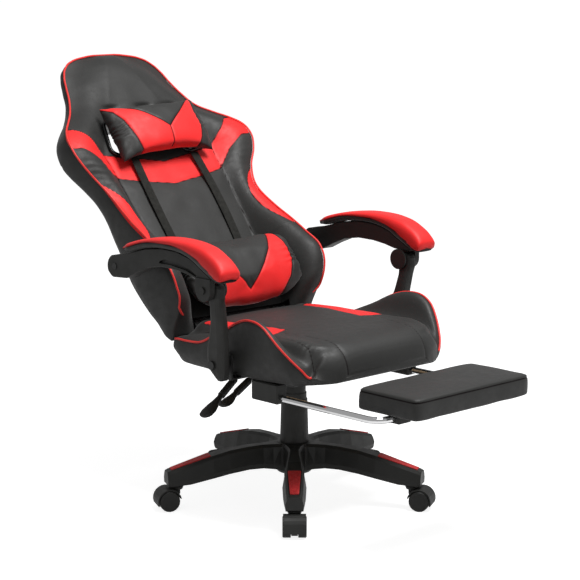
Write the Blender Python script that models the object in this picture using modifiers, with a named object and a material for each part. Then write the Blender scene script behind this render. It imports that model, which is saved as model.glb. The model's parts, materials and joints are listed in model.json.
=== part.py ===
"""Gaming chair: five-star base on casters, gas lift, bucket seat, reclining back, linked armrests, footrest.

Metres, +Z up. The sitter looks along -Y and has +X on the left. The origin is on the floor, at the middle of
the whole chair's outline; every measure below is from the column's axis, which stands COLUMN_Y in front.
"""
from math import cos, pi, radians, sin

import bmesh
import bpy
from mathutils import Matrix, Vector

# ---- driving dimensions ------------------------------------------------------------------------------
COLUMN_Y = -0.0759          # the column's axis, from the middle of the chair's outline
GAP = 0.0003                # clearance between pieces that touch

ARM_COUNT = 5               # base arms
FIRST_ARM = radians(226.2)  # direction of the first base arm, from +X
CASTER_RADIUS = 0.300       # swivel stems, from the column
STEM_RADIUS = 0.0055
WHEEL_RADIUS = 0.025
WHEEL_TRAIL = 0.022         # axle behind the stem
CASTER_WIDTH = 0.056
HUB_TOP = 0.1455
HUB_RADIUS = 0.047

LIFT_TUBE_RADIUS = 0.025    # outer tube of the gas lift
PRESSURE_TUBE_RADIUS = 0.014
COVER_TOP = 0.2965          # top of the telescopic cover

PAN_TOP = 0.3665            # seat board
PAN_BOTTOM = 0.3537
PLATE_BOTTOM = 0.3495       # steel plate of the mechanism
HOUSING_BOTTOM = 0.2985

RECLINE_Y = 0.200           # recline axis
RECLINE_Z = 0.420
BACK_ANGLE = radians(38)    # lean of the back from the vertical
HINGE_X = 0.130             # recline brackets, from the middle
RAIL_X = 0.146              # back frame rails, from the middle

ARM_X = 0.328               # middle of an armrest pad
ARM_REAR = (0.258, 0.588)   # armrest pivot on the back (Y, Z)
ARM_KNUCKLE = (-0.063, 0.570)  # armrest pivot on the post
POST_FOOT = (-0.050, 0.389)    # post pivot on the seat
PIVOT_PIN_RADIUS = 0.006
KNUCKLE_RADIUS = 0.0255
KNUCKLE_PLAY = 0.0026       # the armrest linkage is open here, so the post's eye is wide

FOOT_TUBE_X = 0.220
FOOT_TUBE_Z = 0.319
FOOT_TUBE_RADIUS = 0.008
FOOT_BAR_Y = -0.490         # cross-bar of the footrest tube, on which the pad turns
FOOT_TAIL_Y = -0.115
FOOT_BEND = 0.032
PAD_WIDTH = 0.383
PAD_FRONT_Y = -0.579
PAD_REAR_Y = -0.398
PAD_TOP = 0.379
PAD_BOTTOM = 0.3285
PAD_BOARD = 0.0080           # thickness of the board let into the pad's underside

SIDES = (("left", 1), ("right", -1))

# colour, roughness, metallic
FINISHES = {
    "black_leather": ((0.035, 0.035, 0.036), 0.45, 0.0),
    "red_leather": ((0.75, 0.035, 0.03), 0.45, 0.0),
    "black_plastic": ((0.018, 0.018, 0.018), 0.5, 0.0),
    "red_plastic": ((0.60, 0.02, 0.025), 0.55, 0.0),
    "wheel_plastic": ((0.028, 0.028, 0.028), 0.6, 0.0),
    "black_steel": ((0.025, 0.025, 0.026), 0.4, 0.9),
    "bright_steel": ((0.55, 0.55, 0.56), 0.25, 1.0),
    "chrome": ((0.80, 0.80, 0.81), 0.1, 1.0),
    "plywood": ((0.42, 0.29, 0.16), 0.7, 0.0),
    "webbing": ((0.02, 0.02, 0.02), 0.8, 0.0),
}


# ---- scene helpers -----------------------------------------------------------------------------------
def clear_scene():
    for old in list(bpy.data.objects):
        bpy.data.objects.remove(old, do_unlink=True)


clear_scene()
CHAIR = bpy.data.collections.new("gaming_chair")
CUTTERS = bpy.data.collections.new("cutters")
bpy.context.scene.collection.children.link(CHAIR)
bpy.context.scene.collection.children.link(CUTTERS)


def make_material(name):
    colour, roughness, metallic = FINISHES[name]
    mat = bpy.data.materials.new(name)
    mat.use_nodes = True
    mat.diffuse_color = (*colour, 1.0)
    shader = mat.node_tree.nodes["Principled BSDF"]
    shader.inputs["Base Color"].default_value = (*colour, 1.0)
    shader.inputs["Roughness"].default_value = roughness
    shader.inputs["Metallic"].default_value = metallic
    return mat


MATERIALS = {name: make_material(name) for name in FINISHES}


def make_axis(name, place, parent=None):
    """An empty on a joint's axis. Its own place is given from the column's foot."""
    empty = bpy.data.objects.new(name, None)
    CHAIR.objects.link(empty)
    empty.location = place
    if parent:
        empty.parent = parent
    return empty


ROOT = make_axis("column_foot", (0, COLUMN_Y, 0))


def dress(obj, finish, axis=ROOT):
    """Gives a piece its material and hangs it on its joint's empty, without moving it."""
    obj.data.materials.clear()
    obj.data.materials.append(MATERIALS[finish])
    obj.parent = axis
    if axis is not ROOT:
        obj.matrix_parent_inverse = Matrix.Translation(-axis.location)
    return obj


def new_object(name, mesh, collection=None):
    obj = bpy.data.objects.new(name, mesh)
    (collection or CHAIR).objects.link(obj)
    return obj


def bake(obj):
    """Turns an object's modifiers into plain mesh."""
    bpy.context.view_layer.update()
    graph = bpy.context.evaluated_depsgraph_get()
    mesh = bpy.data.meshes.new_from_object(obj.evaluated_get(graph))
    obj.modifiers.clear()
    obj.data = mesh
    return obj


def combine(obj, other, operation):
    """Cuts other from obj, or joins it on, and removes other."""
    step = obj.modifiers.new(operation.lower(), "BOOLEAN")
    step.operation = operation
    step.solver = "EXACT"
    step.object = other
    bake(obj)
    bpy.data.objects.remove(other, do_unlink=True)
    return obj


def cut(obj, *cutters):
    for cutter in cutters:
        combine(obj, cutter, "DIFFERENCE")
    return obj


def join(obj, *others):
    for other in others:
        combine(obj, other, "UNION")
    return obj


def mesh_from(name, verts, faces, collection=None):
    mesh = bpy.data.meshes.new(name)
    mesh.from_pydata(verts, [], faces)
    mesh.update()
    shape = bmesh.new()
    shape.from_mesh(mesh)
    bmesh.ops.recalc_face_normals(shape, faces=shape.faces)
    bmesh.ops.triangulate(shape, faces=shape.faces)
    shape.to_mesh(mesh)
    shape.free()
    return new_object(name, mesh, collection)


def loft(name, rings, collection=None):
    """A closed skin over rings of points that have the same count, with flat ends."""
    count = len(rings[0])
    verts = [point for ring in rings for point in ring]
    faces = []
    for row in range(len(rings) - 1):
        for i in range(count):
            j = (i + 1) % count
            faces.append((row * count + i, row * count + j, (row + 1) * count + j, (row + 1) * count + i))
    faces.append(tuple(range(count)))
    faces.append(tuple((len(rings) - 1) * count + i for i in range(count)))
    return mesh_from(name, verts, faces, collection)


def box(name, low, high, bevel=0.0, segments=1, collection=None):
    bpy.ops.mesh.primitive_cube_add(size=1)
    obj = bpy.context.active_object
    obj.name = name
    for home in list(obj.users_collection):
        home.objects.unlink(obj)
    (collection or CHAIR).objects.link(obj)
    low, high = Vector(low), Vector(high)
    obj.data.transform(Matrix.Translation((low + high) / 2) @ Matrix.Diagonal((*(high - low), 1)))
    if bevel:
        edge = obj.modifiers.new("bevel", "BEVEL")
        edge.width = bevel
        edge.segments = segments
        bake(obj)
    return obj


def turned(name, profile, steps=24, closed=False, collection=None):
    """A shape turned about Z. The profile is (radius, height), down its outer side; closed is for a ring."""
    verts = [(radius, 0, height) for radius, height in profile]
    edges = [(i, i + 1) for i in range(len(verts) - 1)]
    if closed:
        edges.append((len(verts) - 1, 0))
    mesh = bpy.data.meshes.new(name)
    mesh.from_pydata(verts, edges, [])
    obj = new_object(name, mesh, collection)
    screw = obj.modifiers.new("screw", "SCREW")
    screw.steps = steps
    screw.render_steps = steps
    screw.use_merge_vertices = True
    screw.merge_threshold = 0.00005
    bake(obj)
    shape = bmesh.new()
    shape.from_mesh(obj.data)
    bmesh.ops.recalc_face_normals(shape, faces=shape.faces)
    shape.to_mesh(obj.data)
    shape.free()
    obj.data.shade_smooth()
    obj.data.set_sharp_from_angle(angle=radians(35))
    return obj


def rod(name, radius, start, end, steps=16, collection=None):
    """A plain cylinder between two points."""
    start, end = Vector(start), Vector(end)
    shape = bmesh.new()
    length = (end - start).length
    bmesh.ops.create_cone(shape, cap_ends=True, segments=steps, radius1=radius, radius2=radius, depth=length)
    mesh = bpy.data.meshes.new(name)
    shape.to_mesh(mesh)
    shape.free()
    turn = (end - start).to_track_quat("Z", "Y").to_matrix().to_4x4()
    mesh.transform(Matrix.Translation((start + end) / 2) @ turn)
    return new_object(name, mesh, collection)


def tube(name, points, radius, resolution=2, collection=None):
    """A solid round bar along points, as a mesh with welded ends."""
    curve = bpy.data.curves.new(name, "CURVE")
    curve.dimensions = "3D"
    curve.bevel_depth = radius
    curve.bevel_resolution = resolution
    curve.use_fill_caps = True
    line = curve.splines.new("POLY")
    line.points.add(len(points) - 1)
    for knot, point in zip(line.points, points):
        knot.co = (*point, 1)
    wire = bpy.data.objects.new(name + "_line", curve)
    CUTTERS.objects.link(wire)
    bpy.context.view_layer.update()
    graph = bpy.context.evaluated_depsgraph_get()
    mesh = bpy.data.meshes.new_from_object(wire.evaluated_get(graph))
    bpy.data.objects.remove(wire, do_unlink=True)
    shape = bmesh.new()
    shape.from_mesh(mesh)
    bmesh.ops.remove_doubles(shape, verts=shape.verts, dist=0.00005)
    bmesh.ops.recalc_face_normals(shape, faces=shape.faces)
    shape.to_mesh(mesh)
    shape.free()
    return new_object(name, mesh, collection)


def slab(name, outline, x_low, x_high, bevel=0.0, collection=None):
    """A plate between two X planes, with its outline given as (Y, Z) points."""
    rings = [[(x, y, z) for y, z in outline] for x in sorted((x_low, x_high))]
    obj = loft(name, rings, collection)
    if bevel:
        edge = obj.modifiers.new("bevel", "BEVEL")
        edge.width = bevel
        edge.segments = 1
        edge.limit_method = "ANGLE"
        edge.angle_limit = radians(40)
        bake(obj)
    return obj


def arc(centre, radius, start, end, count):
    """Points on a round stretch, angles in degrees from the first coordinate's direction."""
    angles = [radians(start + (end - start) * i / (count - 1)) for i in range(count)]
    return [(centre[0] + radius * cos(a), centre[1] + radius * sin(a)) for a in angles]


def between(table, at, column):
    """Reads a column of a table of stations, whose first column rises, straight between its rows."""
    for low, high in zip(table, table[1:]):
        if at <= high[0]:
            share = (at - low[0]) / (high[0] - low[0])
            return low[column] + share * (high[column] - low[column])
    return table[-1][column]


# ---- the leaning back's own frame --------------------------------------------------------------------
UP = Vector((0, sin(BACK_ANGLE), cos(BACK_ANGLE)))
FRONT = Vector((0, -cos(BACK_ANGLE), sin(BACK_ANGLE)))
HINGE = Vector((0, RECLINE_Y, RECLINE_Z))


def on_back(x, up, front):
    """A point from the recline axis: across, up along the back, and out of its front."""
    return HINGE + Vector((x, 0, 0)) + UP * up + FRONT * front


# ---- joints' empties ---------------------------------------------------------------------------------
SWIVEL = make_axis("swivel_axis", (0, 0, 0), ROOT)
RECLINE = make_axis("recline_axis", (0, RECLINE_Y, RECLINE_Z), ROOT)
FOOT_SLIDE = make_axis("footrest_slide_axis", (0, FOOT_TAIL_Y, FOOT_TUBE_Z), ROOT)
FOOT_FLIP = make_axis("footrest_flip_axis", (0, FOOT_BAR_Y, FOOT_TUBE_Z), ROOT)


# ---- base --------------------------------------------------------------------------------------------
# station: distance from the column, underside, top, half width at the top, half width at the underside
BASE_STATIONS = (
    (0.026, 0.078, 0.1450, 0.0250, 0.0290),
    (0.042, 0.080, 0.1448, 0.0205, 0.0255),
    (0.060, 0.083, 0.1445, 0.0145, 0.0230),
    (0.084, 0.086, 0.1437, 0.0100, 0.0195),
    (0.120, 0.086, 0.1420, 0.0110, 0.0205),
    (0.170, 0.081, 0.1370, 0.0150, 0.0255),
    (0.212, 0.074, 0.1280, 0.0175, 0.0285),
    (0.270, 0.063, 0.1117, 0.0160, 0.0265),
    (0.318, 0.060, 0.0980, 0.0135, 0.0225),
    (0.325, 0.064, 0.0950, 0.0125, 0.0215),
)
TREAD_START = 0.217
TREAD_END = 0.314
TREAD_THICKNESS = 0.0022


def base_arm_ring(station, direction):
    out, low, high, top_half, low_half = station
    shoulder = high - 0.007
    across = ((-top_half, high), (top_half, high), (top_half + 0.005, shoulder), (low_half, low + 0.012),
              (low_half - 0.002, low), (-low_half + 0.002, low), (-low_half, low + 0.012),
              (-top_half - 0.005, shoulder))
    turn = Matrix.Rotation(direction, 3, "Z")
    return [turn @ Vector((out, side, z)) for side, z in across]


def build_base():
    star = turned("base_star", ((0, HUB_TOP), (HUB_RADIUS - 0.004, HUB_TOP), (HUB_RADIUS, HUB_TOP - 0.006),
                                (HUB_RADIUS, 0.078), (0.041, 0.071), (0, 0.071)))
    for i in range(ARM_COUNT):
        direction = FIRST_ARM + i * 2 * pi / ARM_COUNT
        join(star, loft("arm", [base_arm_ring(s, direction) for s in BASE_STATIONS], CUTTERS))
    cut(star, rod("bore", LIFT_TUBE_RADIUS + GAP, (0, 0, 0.02), (0, 0, 0.2), 24, CUTTERS))
    for i in range(ARM_COUNT):
        x, y = caster_place(i)
        cut(star, rod("socket", STEM_RADIUS + GAP, (x, y, 0.03), (x, y, 0.088), 12, CUTTERS))
    dress(star, "black_plastic")
    for i in range(ARM_COUNT):
        dress(build_tread(i), "red_plastic")


def build_tread(i):
    """The red foot tread let onto the sloping top of a base arm."""
    rings = []
    for out, half in ((TREAD_START, 0.0145), (TREAD_START + 0.003, 0.0155), (TREAD_END - 0.003, 0.0105),
                      (TREAD_END, 0.0095)):
        low = between(BASE_STATIONS, out, 2) + GAP
        high = low + TREAD_THICKNESS
        ring = ((-half, low), (half, low), (half, high - 0.0006), (half - 0.001, high), (-half + 0.001, high),
                (-half, high - 0.0006))
        turn = Matrix.Rotation(FIRST_ARM + i * 2 * pi / ARM_COUNT, 3, "Z")
        rings.append([turn @ Vector((out, side, z)) for side, z in ring])
    return loft(f"base_tread_{i + 1}", rings)


# ---- casters -----------------------------------------------------------------------------------------
def caster_place(i):
    direction = FIRST_ARM + i * 2 * pi / ARM_COUNT
    return CASTER_RADIUS * cos(direction), CASTER_RADIUS * sin(direction)


def build_hood_mesh():
    """Caster body about its stem: the wheels' axle lies along Y, WHEEL_TRAIL out along +X."""
    plate_half = 0.0075
    hub = (WHEEL_TRAIL, WHEEL_RADIUS)
    cheek = [(x, z) for x, z in arc(hub, 0.0215, -160, 110, 12)]
    cheek += [(0.006, 0.0530), (-0.008, 0.0530), (-0.008, 0.040)]
    rings = [[(x, y, z) for x, z in cheek] for y in (-plate_half, plate_half)]
    hood = loft("hood", rings, CUTTERS)
    outer = arc(hub, 0.0298, -20, 168, 13)
    inner = arc(hub, 0.0270, 168, -20, 13)
    fender_half = CASTER_WIDTH / 2 - 0.0015
    fender = loft("fender", [[(x, y, z) for x, z in outer + inner] for y in (-fender_half, fender_half)], CUTTERS)
    web = loft("web", [[(x, y, z) for x, z in ((0.0, 0.046), (0.016, 0.0505), (0.036, 0.046), (0.030, 0.040),
                                               (0.004, 0.038))] for y in (-plate_half, plate_half)], CUTTERS)
    join(hood, web, fender)
    join(hood, turned("stem", ((0, 0.086), (STEM_RADIUS - 0.001, 0.086), (STEM_RADIUS, 0.085),
                               (STEM_RADIUS, 0.0593), (0.0165, 0.0593), (0.0180, 0.0570), (0.0150, 0.0500),
                               (0, 0.048)), 16,
                      collection=CUTTERS))
    cut(hood, rod("hole", 0.0033, (WHEEL_TRAIL, -0.02, WHEEL_RADIUS), (WHEEL_TRAIL, 0.02, WHEEL_RADIUS), 12,
                  CUTTERS))
    mesh = hood.data
    bpy.data.objects.remove(hood, do_unlink=True)
    return mesh


def build_wheels_mesh():
    """Two wheels on one axle, turned about the axle."""
    half = CASTER_WIDTH / 2
    inside = 0.0085
    disc = ((0.0, half - 0.0005), (0.0185, half - 0.0005), (0.0195, half), (0.0232, half),
            (WHEEL_RADIUS, half - 0.002), (WHEEL_RADIUS, inside + 0.001), (0.024, inside), (0.0030, inside))
    profile = list(disc) + [(radius, -height) for radius, height in reversed(disc)]
    wheels = turned("wheels", profile, 20, collection=CUTTERS)
    mesh = wheels.data
    bpy.data.objects.remove(wheels, do_unlink=True)
    mesh.transform(Matrix.Translation((WHEEL_TRAIL, 0, WHEEL_RADIUS)) @ Matrix.Rotation(pi / 2, 4, "X"))
    return mesh


def build_casters():
    hood_mesh = build_hood_mesh()
    wheels_mesh = build_wheels_mesh()
    for i in range(ARM_COUNT):
        x, y = caster_place(i)
        stem = make_axis(f"caster_axis_{i + 1}", (x, y, 0), ROOT)
        stem.rotation_euler.z = FIRST_ARM + i * 2 * pi / ARM_COUNT
        for name, mesh, finish in ((f"caster_hood_{i + 1}", hood_mesh, "black_plastic"),
                                   (f"caster_wheels_{i + 1}", wheels_mesh, "wheel_plastic")):
            piece = new_object(name, mesh)
            dress(piece, finish)
            piece.parent = stem


# ---- gas lift ----------------------------------------------------------------------------------------
def sleeve(name, outer_low, outer_high, low, high, wall):
    """A thin tapered tube of the telescopic cover."""
    return turned(name, ((outer_high, high), (outer_low, low), (outer_low - wall, low), (outer_high - wall, high)),
                  32, closed=True)


def build_lift():
    dress(turned("gas_lift_tube", ((LIFT_TUBE_RADIUS, 0.236), (LIFT_TUBE_RADIUS, 0.055), (0.0065, 0.055),
                                   (0.0065, 0.059), (PRESSURE_TUBE_RADIUS + 0.001, 0.059),
                                   (PRESSURE_TUBE_RADIUS + 0.001, 0.230), (PRESSURE_TUBE_RADIUS + GAP, 0.231),
                                   (PRESSURE_TUBE_RADIUS + GAP, 0.236)), closed=True), "black_steel")
    dress(sleeve("cover_lower", 0.0352, 0.0322, HUB_TOP + GAP, 0.252, 0.0016), "black_plastic")
    dress(sleeve("cover_middle", 0.0302, 0.0302, 0.150, 0.268, 0.0015), "black_plastic", SWIVEL)
    dress(sleeve("cover_upper", 0.0282, 0.0282, 0.154, COVER_TOP, 0.0015), "black_plastic", SWIVEL)
    dress(turned("piston_rod", ((0, 0.215), (0.005, 0.215), (0.005, 0.064), (0.012, 0.064), (0.012, 0.0595),
                                (0.006, 0.0595), (0.006, 0.051), (0, 0.051)), 16), "bright_steel", SWIVEL)
    dress(turned("pressure_tube", ((0, 0.335), (0.0125, 0.335), (PRESSURE_TUBE_RADIUS, 0.300),
                                   (PRESSURE_TUBE_RADIUS, 0.120), (0.0056, 0.120), (0.0056, 0.124),
                                   (0.009, 0.124), (0.009, 0.296), (0, 0.296)), 24), "bright_steel", SWIVEL)


# ---- mechanism and levers ----------------------------------------------------------------------------
def build_mechanism():
    dress(box("mechanism_plate", (-0.100, -0.098, PLATE_BOTTOM), (0.100, 0.160, PAN_BOTTOM - GAP), 0.0012),
          "black_steel", SWIVEL)
    side = ((-0.085, 0.326), (-0.064, HOUSING_BOTTOM), (0.092, HOUSING_BOTTOM), (0.130, 0.312), (0.130, 0.349),
            (-0.085, 0.349))
    housing = slab("mechanism_housing", [(y, min(z, PLATE_BOTTOM - GAP)) for y, z in side], -0.068, 0.068, 0.004)
    cut(housing, rod("socket", PRESSURE_TUBE_RADIUS + GAP, (0, 0, 0.25), (0, 0, 0.3365), 24, CUTTERS))
    dress(housing, "black_steel", SWIVEL)


LEVERS = (  # name, root on the mechanism, tip, half width of the paddle
    ("recline_lever", (-0.0690, 0.100, 0.3100), (-0.276, 0.020, 0.2490), 0.0185),
    ("height_lever", (-0.0690, 0.052, 0.3100), (-0.272, -0.042, 0.2850), 0.0165),
)
BELLOWS_RIBS = 9
BELLOWS_PITCH = 0.0095


def build_lever(name, root, tip, half_width):
    """A bent steel rod from the mechanism's side, in a ribbed sleeve that ends in a moulded paddle."""
    root, tip = Vector(root), Vector(tip)
    elbow = root + Vector((-0.026, 0, -0.002))
    along = (tip - elbow).normalized()
    reach = (tip - elbow).length
    start = elbow + along * 0.020
    pivot = make_axis(name + "_axis", tuple(root), ROOT)
    stalk = tube(name + "_rod", [root, root + Vector((-0.018, 0, 0)), elbow, start], 0.0050, 2)
    dress(stalk, "black_steel", pivot)
    rings = []
    side = along.cross(Vector((0, 0, 1))).normalized()
    lift = side.cross(along)
    sizes = []
    for rib in range(BELLOWS_RIBS):
        at = 0.0203 + rib * BELLOWS_PITCH
        sizes += [(at, 0.0074, 0.0074), (at + 0.003, 0.0094, 0.0094), (at + 0.006, 0.0094, 0.0094)]
    sleeve_end = sizes[-1][0] + 0.003
    rest = reach - sleeve_end
    for share, half, thick in ((0.0, 0.0070, 0.0068), (0.12, 0.0075, 0.0066), (0.30, 0.55 * half_width, 0.0062),
                               (0.50, 0.82 * half_width, 0.0056), (0.72, half_width, 0.0050),
                               (0.88, 0.92 * half_width, 0.0044), (0.96, 0.72 * half_width, 0.0040),
                               (1.0, 0.45 * half_width, 0.0032)):
        sizes.append((sleeve_end + rest * share, half, thick))
    for at, half, thick in sizes:
        centre = elbow + along * at
        rings.append([centre + side * (half * cos(2 * pi * k / 12)) + lift * (thick * sin(2 * pi * k / 12))
                      for k in range(12)])
    dress(loft(name + "_paddle", rings), "black_plastic", pivot)


# ---- seat --------------------------------------------------------------------------------------------
# station: Y, underside, middle of the top, half width, top of the wing, valley between wing and middle
SEAT_STATIONS = (
    (-0.3135, 0.3700, 0.3960, 0.1340, 0.3830, 0.3950),
    (-0.3120, 0.3665, 0.4050, 0.1460, 0.3820, 0.4030),
    (-0.3085, 0.3645, 0.4150, 0.1600, 0.3805, 0.4110),
    (-0.3030, 0.3635, 0.4240, 0.1740, 0.3790, 0.4160),
    (-0.2950, 0.3630, 0.4330, 0.1900, 0.3775, 0.4190),
    (-0.2870, 0.3625, 0.4385, 0.2040, 0.3770, 0.4180),
    (-0.2770, 0.3620, 0.4430, 0.2160, 0.3810, 0.4150),
    (-0.2645, 0.3610, 0.4465, 0.2340, 0.4000, 0.4160),
    (-0.2485, 0.3605, 0.4490, 0.2480, 0.4200, 0.4200),
    (-0.2235, 0.3590, 0.4505, 0.2640, 0.4500, 0.4240),
    (-0.1970, 0.3580, 0.4510, 0.2730, 0.4790, 0.4280),
    (-0.1480, 0.3555, 0.4515, 0.2715, 0.4990, 0.4340),
    (-0.1150, 0.3545, 0.4520, 0.2660, 0.4970, 0.4360),
    (-0.0800, 0.3540, 0.4520, 0.2600, 0.4860, 0.4370),
    (-0.0400, 0.3540, 0.4520, 0.2575, 0.4650, 0.4380),
    (0.010, 0.354, 0.452, 0.254, 0.442, 0.438),
    (0.060, 0.354, 0.450, 0.249, 0.418, 0.433),
    (0.120, 0.3545, 0.446, 0.243, 0.411, 0.424),
    (0.155, 0.358, 0.440, 0.238, 0.410, 0.418),
    (0.174, 0.366, 0.426, 0.234, 0.408, 0.412),
)


def seat_ring(station):
    y, low, middle, half, wing, valley = station
    drop = wing - low
    groove = min(0.192, half - 0.028)
    inner = min(0.172, groove - 0.014)
    rim = half - 0.016
    foot = min(half, 0.250)
    side = ((0.060, middle), (0.130, middle - 0.001), (inner, middle - 0.004), (groove, valley),
            (groove * 0.6 + rim * 0.4, (valley + wing) / 2 + 0.003), (rim, wing - 0.001),
            (half - 0.002, wing - min(0.006, drop * 0.2)), (half, wing - min(0.020, drop * 0.5)),
            (foot - 0.003, low + min(0.012, drop * 0.25)), (foot - 0.016, low))
    right = [(x, y, z) for x, z in side]
    left = [(-x, y, z) for x, z in reversed(side)]
    return right + [(0, y, low)] + left + [(0, y, middle)]


def build_seat():
    cushion = loft("seat_cushion", [seat_ring(s) for s in SEAT_STATIONS])
    pan_low, pan_high = (-0.205, -0.190, PAN_BOTTOM), (0.205, 0.150, PAN_TOP)
    margin = Vector((0.0005, 0.0005, 0))
    recess = box("recess", Vector(pan_low) - margin - Vector((0, 0, 0.05)), Vector(pan_high) + margin,
                 collection=CUTTERS)
    cut(cushion, recess)
    dress(cushion, "black_leather", SWIVEL)
    dress(box("seat_board", pan_low, Vector(pan_high) - Vector((0, 0, GAP)), 0.001), "plywood", SWIVEL)
    for side, sign in SIDES:
        build_arm_mount(side, sign)
        build_recline_bracket(side, sign)
        build_guide(side, sign)
    dress(rod("recline_axle", 0.006, (-0.160, RECLINE_Y, RECLINE_Z), (0.160, RECLINE_Y, RECLINE_Z)),
          "bright_steel", SWIVEL)


def build_arm_mount(side, sign):
    """Steel angle under the seat board, with the pin that an armrest post turns on."""
    y, z = POST_FOOT
    low, high = PAN_BOTTOM - 0.0045, PAN_BOTTOM - GAP
    tongue = box(f"arm_mount_{side}", (min(0.112 * sign, 0.268 * sign), y - 0.019, low),
                 (max(0.112 * sign, 0.268 * sign), y + 0.019, high))
    upright = box("upright", (min(0.2635 * sign, 0.268 * sign), y - 0.019, low),
                  (max(0.2635 * sign, 0.268 * sign), y + 0.019, z + 0.020), collection=CUTTERS)
    pin = rod("pin", PIVOT_PIN_RADIUS, (0.266 * sign, y, z), (0.3125 * sign, y, z), collection=CUTTERS)
    head = rod("head", 0.0105, (0.3125 * sign, y, z), (0.3160 * sign, y, z), collection=CUTTERS)
    join(tongue, upright, pin, head)
    dress(tongue, "black_steel", SWIVEL)


def build_recline_bracket(side, sign):
    """Steel plate from under the seat board, round the seat's rear edge, up to the recline axle."""
    outline = [(0.060, 0.3485), (0.060, 0.326), (0.165, 0.326), (0.200, 0.338), (0.214, 0.360)]
    outline += arc((RECLINE_Y, RECLINE_Z), 0.0175, 0, 180, 9)
    outline += [(0.1865, 0.372), (0.176, 0.3485)]
    x_low, x_high = sorted((sign * (HINGE_X - 0.003), sign * (HINGE_X + 0.003)))
    plate = slab(f"recline_bracket_{side}", outline, x_low, x_high)
    x_out = sign * (HINGE_X - 0.028)
    shelf = box("shelf", (min(x_low, x_out), 0.060, 0.3445), (max(x_high, x_out), 0.155, 0.3490),
                collection=CUTTERS)
    join(plate, shelf)
    cut(plate, rod("hole", 0.006 + GAP, (sign * 0.10, RECLINE_Y, RECLINE_Z), (sign * 0.16, RECLINE_Y, RECLINE_Z),
                   collection=CUTTERS))
    dress(plate, "black_steel", SWIVEL)


def build_guide(side, sign):
    """Moulded block under the seat's side that a leg of the footrest tube slides in."""
    x_low, x_high = sorted((sign * (FOOT_TUBE_X - 0.016), sign * (FOOT_TUBE_X + 0.016)))
    block = box(f"footrest_guide_{side}", (x_low, -0.188, 0.3065), (x_high, -0.100, 0.3530), 0.003)
    cut(block, rod("bore", FOOT_TUBE_RADIUS + GAP, (sign * FOOT_TUBE_X, -0.22, FOOT_TUBE_Z),
                   (sign * FOOT_TUBE_X, -0.07, FOOT_TUBE_Z), 24, CUTTERS))
    dress(block, "black_plastic", SWIVEL)


# ---- back --------------------------------------------------------------------------------------------
# station: up along the back, half width, piping, middle of the front, rear side edge, middle of the rear
BACK_STATIONS = (
    (-0.021, 0.228, 0.006, -0.002, -0.012, -0.028),
    (-0.006, 0.231, 0.022, 0.004, -0.018, -0.043),
    (0.018, 0.234, 0.066, 0.009, -0.0165, -0.050),
    (0.034, 0.237, 0.092, 0.011, -0.0150, -0.052),
    (0.064, 0.249, 0.116, 0.013, -0.0150, -0.054),
    (0.110, 0.252, 0.126, 0.014, -0.0190, -0.055),
    (0.165, 0.248, 0.108, 0.015, -0.0280, -0.056),
    (0.217, 0.243, 0.088, 0.015, -0.030, -0.057),
    (0.275, 0.239, 0.061, 0.015, -0.030, -0.058),
    (0.350, 0.236, 0.035, 0.014, -0.030, -0.058),
    (0.421, 0.259, 0.030, 0.012, -0.028, -0.058),
    (0.466, 0.286, 0.039, 0.009, -0.026, -0.057),
    (0.507, 0.298, 0.043, 0.006, -0.025, -0.056),
    (0.545, 0.292, 0.037, 0.004, -0.025, -0.055),
    (0.575, 0.272, 0.024, 0.003, -0.027, -0.054),
    (0.605, 0.243, 0.008, 0.003, -0.030, -0.053),
    (0.640, 0.211, -0.008, 0.004, -0.034, -0.052),
    (0.686, 0.186, -0.016, 0.006, -0.038, -0.052),
    (0.730, 0.171, -0.022, 0.008, -0.042, -0.052),
    (0.760, 0.160, -0.024, 0.0075, -0.0435, -0.0515),
    (0.785, 0.143, -0.024, 0.0055, -0.0435, -0.0495),
    (0.800, 0.118, -0.022, 0.002, -0.042, -0.046),
    (0.809, 0.085, -0.020, -0.004, -0.038, -0.0415),
    (0.8145, 0.042, -0.020, -0.011, -0.032, -0.0345),
)
BOLSTER_START = 0.168       # seam between the middle panel and the bolsters, from the middle
HINGE_NOTCH_TOP = 0.0195     # underside of the back between its hinges


def back_ring(station):
    up, half, piping, middle, edge, rear = station
    seam = min(BOLSTER_START, half * 0.72)
    inner = max(min(half - 0.035, seam + 0.045), seam + 0.004)
    side = ((seam * 0.5, middle), (seam, middle - 0.003), (inner, middle * 0.35 + piping * 0.65 + 0.004),
            (half - 0.010, piping + 0.004), (half, piping - 0.002), (half, (piping + edge) / 2), (half - 0.003, edge),
            (half - 0.045, edge * 0.45 + rear * 0.55), (half * 0.45, rear + 0.002))
    right = [on_back(x, up, front) for x, front in side]
    left = [on_back(-x, up, front) for x, front in reversed(side)]
    return right + [on_back(0, up, rear)] + left + [on_back(0, up, middle)]


SLOT_X, SLOT_UP = 0.1105, 0.547     # middle of a neck slot at the back's front
SLOT_HALF_WIDTH, SLOT_HALF_LENGTH = 0.0325, 0.0465
SLOT_CORNER = 0.016
SLOT_TILT = radians(11)             # a slot's lower end lies further out
SLOT_FRONT, SLOT_DEPTH = 0.014, 0.065
SLOT_SPREAD = 0.010                 # a slot's sides open inward and upward by this much towards the rear
BEZEL_WALL = 0.003


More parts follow.
